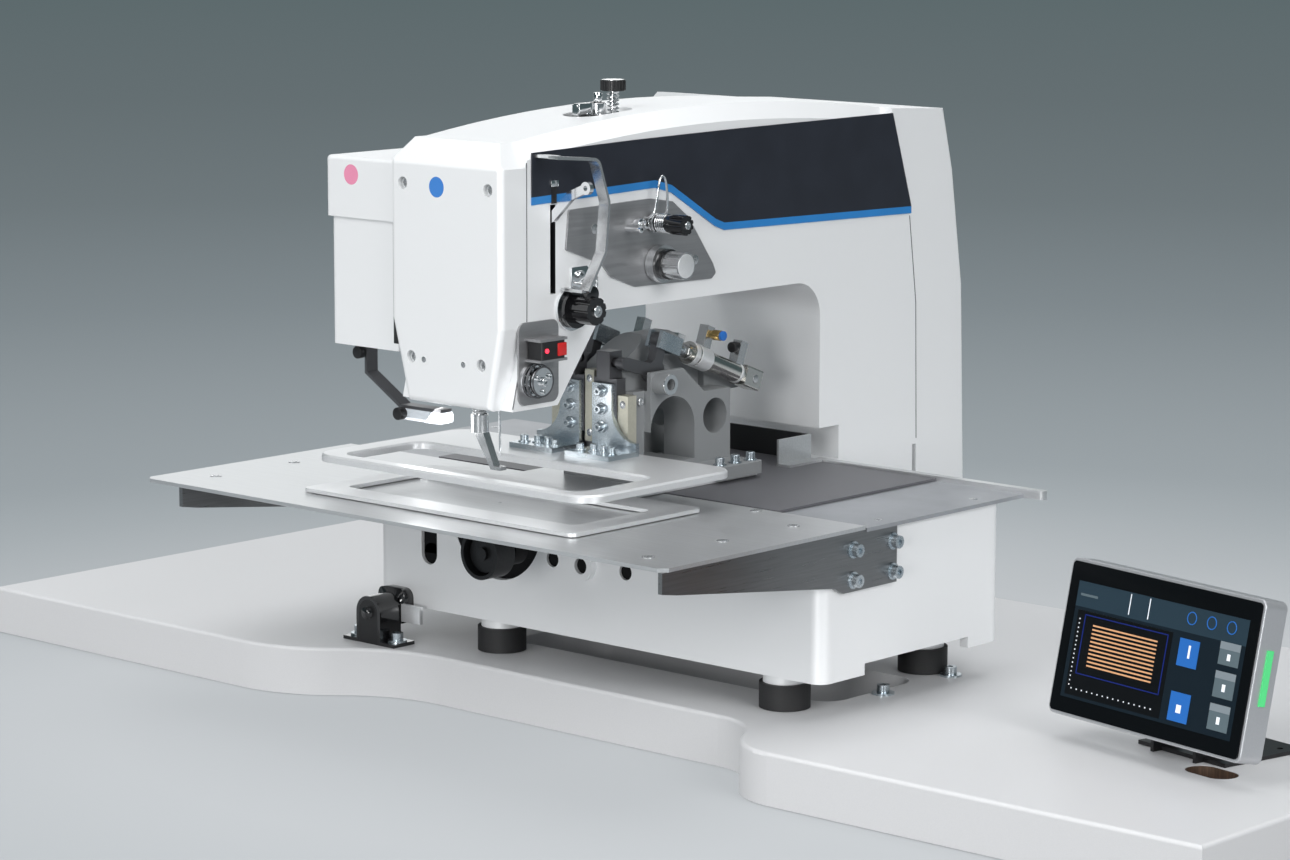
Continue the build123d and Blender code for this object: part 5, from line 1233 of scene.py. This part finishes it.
@dataclass
class SeamLines:
    """Fine dark joints between the head's covers, the drive box and the column."""

    bead: float = 0.5
    bead_sink: float = 0.1
    head_line: tuple[Pair, ...] = (
        (-229, 456), (-229, 400), (-229, 334), (-230, 327), (-245, 268),
    )
    column_line: tuple[Pair, ...] = ((243, 380), (253, 306), (253.2, 303), (256, 186))
    seal_low: Triple = (-5.2, -0.4, 6)
    seal_high: Triple = (0, 0.6, -1)
    seal_rim: float = 0.2
    small_head: float = 2.4
    small_spots: tuple[Pair, ...] = ((-77, 300), (-34, 300))

    def build(self) -> None:
        """Lay each joint's line and the face cover's two small screws."""
        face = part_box("arm_casting")[1].x
        shape = Shaper()
        for route in (self.head_line, self.column_line):
            shape.wire([off_face(face, -self.bead_sink, *spot) for spot in route], self.bead)
        shape.done("cover_seams", "machine", "black_plastic", DARK_STEEL)
        low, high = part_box("drive_box")
        shape = Shaper()
        shape.block(
            Vector((high.x, low.y, low.z)) + mm(*self.seal_low),
            Vector((high.x, low.y, high.z)) + mm(*self.seal_high), self.seal_rim,
        )
        shape.done("drive_box_seal", "machine", "black_plastic", BLACK)
        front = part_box("face_cover")[0].y
        shape = Shaper()
        for x, z in self.small_spots:
            shape.sunk(Vector((x * MM, front, z * MM)), -Y, self.small_head)
        shape.done("face_small_screws", "machine", "steel", STEEL)


@dataclass
class BedTrim:
    """Black plugs and screen of painted shade in the bed's openings, hook arm, hinge arms and cable
    sleeve.
    """

    hole_shade_plug: Turned = Turned(6.45, 3.0, 0.3)
    hole_spots: tuple[Triple, ...] = ((-50, -139, 129), (29, -139, 129), (-14, -144, 129))
    slot_end: Turned = Turned(8.8, 3.0, 0.0, 40)
    slot_x: float = -190.0
    slot_front: float = -138.0
    slot_heights: Pair = (115.0, 151.0)
    opening: Triple = (-112.0, -134.6, 154.0)
    opening_shade: Turned = Turned(49.9, 0.8, 0.0, 64)
    opening_roof: float = 164.9
    bearing: Ring = Ring(13.0, 5.6, 14.0)
    yoke_half: float = 12.0
    yoke_rise: float = 10.0
    yoke_rim: float = 1.0
    arm_z: float = 150.0
    arm_thick: float = 11.0
    arm_rim: float = 0.8
    arm_outline: tuple[Pair, ...] = (
        (-50, -208), (-27, -199), (-70, -147), (-70, -134), (-104, -134), (-104, -150),
    )
    bar_inset: float = 4.0
    bar_front: float = -140.5
    bar_end: float = -58.0
    bar_gap: float = 1.8
    bar_lap: float = 2.0
    bar_rim: float = 0.6
    lug_top: float = 83.0
    lug_round: float = 8.0
    lug_steps: int = 5
    corner_reach: float = 1e-5
    tab_rows: tuple[Pair, ...] = ((-155, -151), (93, 97))
    tab_ends: Pair = (-1.0, 21.0)
    tab_heights: Pair = (57.0, 72.0)
    tab_rim: float = 0.6
    cable_hole: Pair = (531.0, -67.0)
    cable_reach: float = 34.0
    cable_wall: float = 0.2
    cable_fit_shares: Triple = (0.975, 0.975, 0.99)
    upright_share: float = 0.1

    def build(self) -> None:
        """Make the plugs and the opening's screen of painted shade, the arms and the sleeve."""
        shape = Shaper()
        # Black plugs in the front holes and the slot: painted shade of the bed's inside.
        for spot in self.hole_spots:
            shape.drum(mm(*spot), Y, self.hole_shade_plug)
        for z in self.slot_heights:
            shape.drum(mm(self.slot_x, self.slot_front, z), Y, self.slot_end)
        half, rear = self.slot_end.radius, self.slot_front + self.slot_end.length
        shape.block(
            mm(self.slot_x - half, self.slot_front, self.slot_heights[0]),
            mm(self.slot_x + half, rear, self.slot_heights[1]),
        )
        shape.done("bed_hole_shade", "machine", "black_plastic", PAINTED_SHADE_BLACK)
        # Black half disc behind the round opening: painted shade of the bed's inside.
        shape = Shaper()
        shape.drum(mm(*self.opening), Y, self.opening_shade)
        shape.cut_above(self.opening_roof * MM)
        shape.done("hook_opening_shade", "machine", "black_plastic", PAINTED_SHADE_BLACK)
        self.hook_arm()
        self.hinge_arms()
        self.hinge_tabs()
        self.cable_sleeve()

    def hook_arm(self) -> None:
        """Slim arm from the round opening to the hook's bearing, for the solid bracket."""
        low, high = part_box("hook_bracket")
        hook_low, hook_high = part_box("rotary_hook")
        axis = Vector(((hook_low.x + hook_high.x) / 2, low.y, (hook_low.z + hook_high.z) / 2))
        shape = Shaper()
        shape.tube(axis, Y, self.bearing)
        shape.block(
            axis + mm(-self.yoke_half, 0, self.yoke_rise),
            Vector((axis.x + self.yoke_half * MM, low.y + self.bearing.length * MM, high.z)),
            self.yoke_rim,
        )
        outline = [mm(x, y, self.arm_z) for x, y in self.arm_outline]
        shape.slab(outline, Z * (self.arm_thick * MM), self.arm_rim)
        inset, lap = self.bar_inset * MM, self.arm_z + self.bar_lap
        shape.block(
            Vector((low.x + inset, self.bar_front * MM, low.z + inset)),
            Vector((self.bar_end * MM, high.y - self.bar_gap * MM, lap * MM)), self.bar_rim,
        )
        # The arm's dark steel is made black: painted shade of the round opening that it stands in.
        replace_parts(shape.done("hook_arm", "machine", "dark_steel", PAINTED_SHADE_BLACK), "hook_bracket")

    def hinge_arms(self) -> None:
        """Hinge lugs cut to the height that shows, with rounded upper corners."""
        low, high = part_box("hinge_lugs")
        top = self.lug_top * MM
        shape = Shaper()
        shape.take("hinge_lugs")
        shape.cut_above(top)
        corners = [
            edge for edge in shape.bm.edges if all(
                abs(v.co.z - top) < MERGE_REACH
                and min(v.co.x - low.x, high.x - v.co.x) < self.corner_reach
                for v in edge.verts
            )
        ]
        bmesh.ops.bevel(
            shape.bm, geom=corners, offset=self.lug_round * MM, offset_type="OFFSET",
            affect="EDGES", segments=self.lug_steps, profile=0.5, material=-1,
        )
        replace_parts(shape.done("hinge_arms", "machine", "dark_steel", BLACK_GLOSS), "hinge_lugs")

    def hinge_tabs(self) -> None:
        """Bright side tabs of the hinge lugs."""
        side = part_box("hinge_lugs")[1].x
        shape = Shaper()
        for near, far in self.tab_rows:
            shape.block(
                off_face(side, self.tab_ends[0], near, self.tab_heights[0]),
                off_face(side, self.tab_ends[1], far, self.tab_heights[1]), self.tab_rim,
            )
        shape.done("hinge_tabs", "machine", "zinc", CLAMP_ALU)

    def cable_sleeve(self) -> None:
        """Bare core of the board, seen on the wall of its cable hole."""
        shape = Shaper()
        shape.take("table_top")
        shape.bm.normal_update()
        middle = mm(*self.cable_hole, 0)
        spare = []
        for face in shape.bm.faces:
            reach = face.calc_center_median() - middle
            level = abs(face.normal.z) > self.upright_share
            if level or reach.xy.length > self.cable_reach * MM:
                spare.append(face)
        bmesh.ops.delete(shape.bm, geom=spare, context="FACES")
        bmesh.ops.scale(
            shape.bm, vec=self.cable_fit_shares, space=Matrix.Translation(-middle),
            verts=list(shape.bm.verts),
        )
        bmesh.ops.solidify(shape.bm, geom=list(shape.bm.faces), thickness=self.cable_wall * MM)
        shape.done("cable_sleeve", "table", "board", BOARD_CORE)


@dataclass
class RearTrim:
    """Screws that hold the column's rear cover."""

    inset: float = 14.0
    head: float = 4.2
    heights: Triple = (215.0, 350.0, 445.0)

    def build(self) -> None:
        """Set the screws flush in the cover's back."""
        low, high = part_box("rear_cover")
        inset = self.inset * MM
        shape = Shaper()
        for x in (low.x + inset, high.x - inset):
            for z in self.heights:
                start = Vector((x, high.y + inset, z * MM))
                place, facing = seat_on("rear_cover", start, -Y)
                shape.sunk(place, facing, self.head)
        shape.done("rear_cover_screws", "machine", "steel", STEEL)


@dataclass
class WinderParts:
    """Bright fittings and the black thumb nut of the bobbin winder."""

    place: Triple = (-45.0, -93.0, 478.0)
    spindle_offset: float = 18.0
    studs: tuple[tuple[Triple, Turned], ...] = (
        ((0, 0, 0), Turned(10.5, 2.6, 0.5, 36)), ((-9, -6, 0), Turned(3.0, 5.0, 0.4)),
        ((9, -5, 0), Turned(3.0, 5.0, 0.4)), ((0, 0, 14), Turned(3.4, 8.0, 0.5, 28)),
    )
    plates: tuple[Block, ...] = (
        Block((-3, -26.5, 0), (3, -24.5, 13.6), 0.4),
        Block((-3.5, -24.6, 4.5), (3.5, -11.4, 14.4), 0.5),
    )
    post_sleeve: Ring = Ring(6.6, 6.05, 9.4, 4.5)
    nut_grip: Ring = Ring(9.7, 8.4, 8.8, -9.0)
    nut_rib: Turned = Turned(0.55, 7.6, 0.0, 8, -8.4)
    nut_ribs: int = 24
    coil: Coil = Coil(4.3, 0.7, 5, 16.0, -26.0)
    coil_seat: Turned = Turned(7.0, 3.0, 0.5, 32, -29.6)

    def build(self) -> None:
        """Make the winder's bright pieces and the nut's grip."""
        spot = mm(*self.place)
        shape = Shaper()
        for foot, stud in self.studs:
            shape.drum(spot + mm(*foot), Z, stud)
        for plate in self.plates:
            shape.brick(spot, plate)
        shape.tube(spot, Z, self.post_sleeve)
        shape.done("winder_fittings", "machine", "steel", CHROME)
        top = Vector((spot.x, spot.y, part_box("winder_spindle")[1].z))
        top.y += self.spindle_offset * MM
        shape = Shaper()
        shape.tube(top, Z, self.nut_grip)
        for step in range(self.nut_ribs):
            angle = step * 2 * math.pi / self.nut_ribs
            reach = (X * math.cos(angle) + Y * math.sin(angle)) * (self.nut_grip.outer * MM)
            shape.drum(top + reach, Z, self.nut_rib)
        shape.done("winder_nut_grip", "winder", "black_plastic", BLACK)
        shape = Shaper()
        shape.spring(top, Z, self.coil)
        shape.drum(top, Z, self.coil_seat)
        shape.done("winder_spring", "winder", "steel", CHROME)


@dataclass(frozen=True)
class ScreenLayer:
    """Flat shapes of one colour on the panel's screen, and the film that they lie on.

    Rectangles are left, low, right and high, and rings are middles, all as shares of the panel.
    """

    name: str
    look: Finish
    film: int
    rects: tuple[Rect, ...]
    rings: tuple[Pair, ...] = ()
    dots: int = 0


@dataclass
class PanelFace:
    """What the control panel's screen shows, as flat shapes, and the trims on its back."""

    foot: Triple = (479.0, -82.0, 60.0)
    yaw: float = -11.8
    lean: float = 11.6
    width: float = 200.0
    height: float = 117.0
    proud: float = 1.0
    film: float = 0.15
    layers: tuple[ScreenLayer, ...] = (
        ScreenLayer("slate", UI_SLATE, 0, ((0.06, 0.70, 0.94, 0.86),)),
        ScreenLayer("deep", UI_DEEP, 0, ((0.06, 0.12, 0.94, 0.70),)),
        ScreenLayer("field", UI_FIELD, 1, ((0.08, 0.14, 0.58, 0.68),)),
        ScreenLayer(
            "blue", UI_BLUE, 2, ((0.62, 0.49, 0.72, 0.66), (0.62, 0.15, 0.72, 0.33)),
            rings=((0.66, 0.79), (0.76, 0.79), (0.86, 0.79)),
        ),
        ScreenLayer("grey", UI_GREY, 2, (
            (0.82, 0.56, 0.92, 0.70), (0.82, 0.36, 0.92, 0.52), (0.82, 0.16, 0.92, 0.32),
            (0.08, 0.77, 0.17, 0.785),
        )),
        ScreenLayer("pale", UI_PALE, 3, (
            (0.82, 0.655, 0.92, 0.70), (0.82, 0.475, 0.92, 0.52), (0.82, 0.275, 0.92, 0.32),
        )),
        ScreenLayer("line", UI_LINE, 4, (
            (0.862, 0.59, 0.878, 0.63), (0.862, 0.40, 0.878, 0.445), (0.862, 0.20, 0.878, 0.245),
            (0.658, 0.205, 0.682, 0.255), (0.67, 0.545, 0.68, 0.625), (0.34, 0.72, 0.344, 0.85),
            (0.44, 0.72, 0.444, 0.85),
        ), dots=16),
        ScreenLayer("frame", UI_NAVY, 2, (
            (0.12, 0.28, 0.125, 0.66), (0.12, 0.28, 0.56, 0.287), (0.12, 0.653, 0.56, 0.66),
            (0.555, 0.28, 0.56, 0.66),
        )),
    )
    ring_radius: float = 4.6
    ring_wire: float = 0.4
    ring_points: int = 12
    dot_step_share: float = 0.028
    dot_column_share: Rect = (0.095, 0.20, 0.10, 0.208)
    dot_row_share: Rect = (0.11, 0.18, 0.115, 0.188)
    pattern_rows: int = 11
    pattern_film: int = 2
    pattern_step_share: float = 0.0255
    pattern_row_share: Rect = (0.17, 0.34, 0.51, 0.35)
    back_head: float = 3.0
    back_across_shares: Pair = (0.06, 0.94)
    back_up_shares: Pair = (0.10, 0.90)
    slots: int = 9
    slot_step_share: float = 0.045
    slot_up_share: float = 0.78
    slot_half: Pair = (1.4, 8.0)
    slot_film: float = 0.15

    def axes(self) -> Matrix:
        """Matrix from the panel's own plane to the part's frame.

        Returns:
            The matrix, in metres.
        """
        yaw, lean = math.radians(self.yaw), math.radians(self.lean)
        along = Vector((math.cos(yaw), math.sin(yaw), 0))
        level = Vector((math.sin(yaw), -math.cos(yaw), 0))
        facing = level * math.cos(lean) + Z * math.sin(lean)
        rise = facing.cross(along)
        turn = Matrix((along, rise, facing)).transposed().to_4x4()
        return Matrix.Translation(mm(*self.foot)) @ turn

    def spot(self, across: float, up: float, out: float) -> Vector:
        """Point on the panel by shares of its width and height, and its distance in front."""
        return self.axes() @ mm((across - 0.5) * self.width, up * self.height, out)

    def build(self) -> None:
        """Make the screen's shapes by colour, each layer a film above the last."""
        for layer in self.layers:
            shape = Shaper()
            for rect in layer.rects:
                self.patch(shape, rect, layer.film)
            for across, up in layer.rings:
                self.ring(shape, across, up, layer.film)
            for step in range(layer.dots):
                shift = step * self.dot_step_share
                self.patch(shape, self.dot_column_share, layer.film, up=shift)
                self.patch(shape, self.dot_row_share, layer.film, across=shift)
            shape.done(f"screen_{layer.name}", "panel", "screen", layer.look)
        shape = Shaper()
        for row in range(self.pattern_rows):
            shift = row * self.pattern_step_share
            self.patch(shape, self.pattern_row_share, self.pattern_film, up=shift)
        shape.done("screen_pattern", "panel", "screen", UI_WARM)
        self.back_trim()

    def back_trim(self) -> None:
        """Screws and air slots on the housing's back."""
        turn = self.axes().to_3x3()
        way = turn @ Z
        shape = Shaper()
        for across in self.back_across_shares:
            for up in self.back_up_shares:
                start = self.spot(across, up, -self.width)
                place, facing = seat_on("panel_housing", start, way)
                shape.sunk(place, facing, self.back_head)
        shape.done("panel_back_screws", "panel", "steel", STEEL)
        shape = Shaper()
        along, rise = (turn @ X * self.slot_half[0], turn @ Y * self.slot_half[1])
        for step in range(self.slots):
            across = 0.5 + (step - (self.slots - 1) / 2) * self.slot_step_share
            start = self.spot(across, self.slot_up_share, -self.width)
            place, facing = seat_on("panel_housing", start, way)
            corners = ((-1, -1), (1, -1), (1, 1), (-1, 1))
            outline = [place + (along * a + rise * b) * MM for a, b in corners]
            shape.slab(outline, facing * (self.slot_film * MM))
        shape.done("panel_air_slots", "panel", "black_plastic", BLACK)

    def patch(
        self, shape: Shaper, rect: Rect, film: int, across: float = 0.0, up: float = 0.0
    ) -> None:
        """Add one flat rectangle to the screen's shapes.

        Args:
            shape: shape that takes the rectangle.
            rect: left, low, right and high sides as shares of the panel.
            film: number of films below it.
            across: shift to the right, as a share of the width.
            up: shift upwards, as a share of the height.
        """
        left, low, right, high = rect
        facing = self.axes().to_3x3() @ Z
        out = self.proud + film * self.film
        corners = ((left, low), (right, low), (right, high), (left, high))
        outline = [self.spot(a + across, b + up, out) for a, b in corners]
        shape.slab(outline, facing * (self.film * MM))

    def ring(self, shape: Shaper, across: float, up: float, film: int) -> None:
        """Add a thin ring to the screen's shapes.

        Args:
            shape: shape that takes the ring.
            across: share of the width.
            up: share of the height.
            film: number of films below it.
        """
        turn = self.axes().to_3x3()
        middle = self.spot(across, up, self.proud + film * self.film)
        points = []
        for step in range(self.ring_points):
            angle = step * 2 * math.pi / self.ring_points
            reach = Vector((math.cos(angle), math.sin(angle), 0)) * (self.ring_radius * MM)
            points.append(middle + turn @ reach)
        shape.wire(points, self.ring_wire, True)


@dataclass(frozen=True)
class Lamp:
    """One soft square lamp: its place, aim and side in metres, watts and spread in degrees."""

    name: str
    place: Triple
    aim: Triple
    size: float
    power: float
    spread: float = 180.0
    diffuse: bool = True

    def build(self) -> None:
        """Set the lamp up, hidden from the camera."""
        data = bpy.data.lights.new(self.name, "AREA")
        data.size = self.size
        data.energy = self.power
        data.spread = math.radians(self.spread)
        held = bpy.data.objects.new(self.name, data)
        way = Vector(self.aim) - Vector(self.place)
        turn = way.to_track_quat("-Z", "Y").to_matrix().to_4x4()
        held.matrix_world = Matrix.Translation(self.place) @ turn
        held.visible_camera = False
        held.visible_diffuse = self.diffuse
        bpy.context.scene.collection.objects.link(held)


@dataclass
class Studio:
    """Camera, lights, ground and wall around the object, in metres."""

    place: Triple = (2.004563, -2.309204, 0.716608)
    right: Triple = (0.74246656, 0.66988085, 0.00174931)
    up: Triple = (-0.10818526, 0.1173299, 0.98718268)
    back: Triple = (0.66108952, -0.73313938, 0.15958475)
    lens: float = 106.03
    sensor: float = 36.0
    sight: float = 100.0
    lamps: tuple[Lamp, ...] = (
        Lamp("key", (-0.3, -2.4, 1.8), (0, 0, 0.2), 1.8, 44),
        Lamp("fill_right", (4.2, -1.0, 2.2), (0, 0, 0.25), 2.4, 112),
        Lamp("fill_front", (1.4, -3.4, 0.62), (0, 0, 0.2), 0.9, 12, spread=100.0),
        Lamp("top", (0.1, 0.5, 2.6), (0, 0, 0.3), 2.0, 23),
        Lamp("needle_lamp", (-0.098, -0.233, 0.244), (-0.038, -0.213, 0.19), 0.04, 0.03),
        Lamp("reflector", (-3.4, 3.1, 1.05), (0, 0, 0.2), 2.4, 22, diffuse=False),
    )
    world_colour: Triple = (0.80, 0.83, 0.86)
    world_strength: float = 0.48
    stage_sides: int = 96
    floor_radius: float = 60.0
    floor_level: float = -0.001
    shade_level: float = -0.0005
    shade_inset: float = 0.018
    shade_recess: float = 0.080
    wall_radius: float = 24.0
    wall_height: float = 20.0
    wall_foot: float = -0.5

    def build(self) -> None:
        """Set up everything around the object."""
        self.camera()
        for lamp in self.lamps:
            lamp.build()
        self.world()
        self.floor()
        self.shade()
        self.wall()
        bpy.context.scene.view_settings.view_transform = "Standard"

    def camera(self) -> None:
        """Camera at the photograph's viewing angle."""
        data = bpy.data.cameras.new("camera")
        data.lens = self.lens
        data.sensor_width = self.sensor
        data.clip_end = self.sight
        held = bpy.data.objects.new("camera", data)
        turn = Matrix((self.right, self.up, self.back)).transposed().to_4x4()
        held.matrix_world = Matrix.Translation(self.place) @ turn
        bpy.context.scene.collection.objects.link(held)
        bpy.context.scene.camera = held

    def world(self) -> None:
        """Pale even light from all around."""
        world = bpy.data.worlds.new("studio")
        world.use_nodes = True
        glow = world.node_tree.nodes["Background"]
        glow.inputs["Color"].default_value = (*self.world_colour, 1)
        glow.inputs["Strength"].default_value = self.world_strength
        bpy.context.scene.world = world

    def stand(self, name: str, bm: bmesh.types.BMesh, look: Finish) -> bpy.types.Object:
        """Make a piece of the stage from its mesh.

        Args:
            name: name of the piece.
            bm: its shape, which is freed.
            look: its finish.

        Returns:
            The stage object.
        """
        mesh = bpy.data.meshes.new(name)
        bm.to_mesh(mesh)
        bm.free()
        mesh.shade_smooth()
        mesh.materials.append(look.material())
        held = bpy.data.objects.new(name, mesh)
        bpy.context.scene.collection.objects.link(held)
        return held

    def floor(self) -> None:
        """Wide ground disc just under the board."""
        bm = bmesh.new()
        bmesh.ops.create_circle(
            bm, cap_ends=True, segments=self.stage_sides, radius=self.floor_radius,
            matrix=Matrix.Translation(Z * self.floor_level),
        )
        self.stand("floor", bm, LIGHT_POOL_GROUND)

    def shade(self) -> None:
        """Pale matt patch of ground under the board, seen only through its openings."""
        low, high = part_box("table_top")
        near, far = low.y + self.shade_recess, high.y - self.shade_inset
        left, right = low.x + self.shade_inset, high.x - self.shade_inset
        middle = Vector(((left + right) / 2, (near + far) / 2, self.shade_level))
        size = Matrix.Diagonal((right - left, far - near, 1.0, 1.0))
        bm = bmesh.new()
        bmesh.ops.create_grid(
            bm, x_segments=1, y_segments=1, size=0.5, matrix=Matrix.Translation(middle) @ size
        )
        self.stand("floor_shade", bm, SHADE)

    def wall(self) -> None:
        """Round wall far behind the ground, so that low views show no bright horizon."""
        bm = bmesh.new()
        middle = Z * (self.wall_foot + self.wall_height / 2)
        bmesh.ops.create_cone(
            bm, cap_ends=False, segments=self.stage_sides, radius1=self.wall_radius,
            radius2=self.wall_radius, depth=self.wall_height, matrix=Matrix.Translation(middle),
        )
        bmesh.ops.reverse_faces(bm, faces=bm.faces)
        wall = self.stand("studio_wall", bm, LIGHT_POOL_GROUND)
        wall.visible_diffuse = False
        wall.visible_shadow = False


def dress_nodes() -> None:
    """Give every carried-over solid its finish."""
    for name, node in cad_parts.items():
        node.data.materials.clear()
        node.data.materials.append(NODE_FINISHES[name].material())
    bpy.context.view_layer.update()


def main() -> None:
    """Build the studio, dress the solids and add the fine pieces."""
    logging.basicConfig(level=logging.INFO)
    Studio().build()
    dress_nodes()
    assemblies = (
        ClampFastenings(), PlateFastenings(), ThreadParts(), SewingParts(), SeamLines(),
        BedTrim(), RearTrim(), WinderParts(), PanelFace(),
    )
    for assembly in assemblies:
        assembly.build()
        LOG.info("made %s", type(assembly).__name__)


if __name__ == "__main__":
    main()
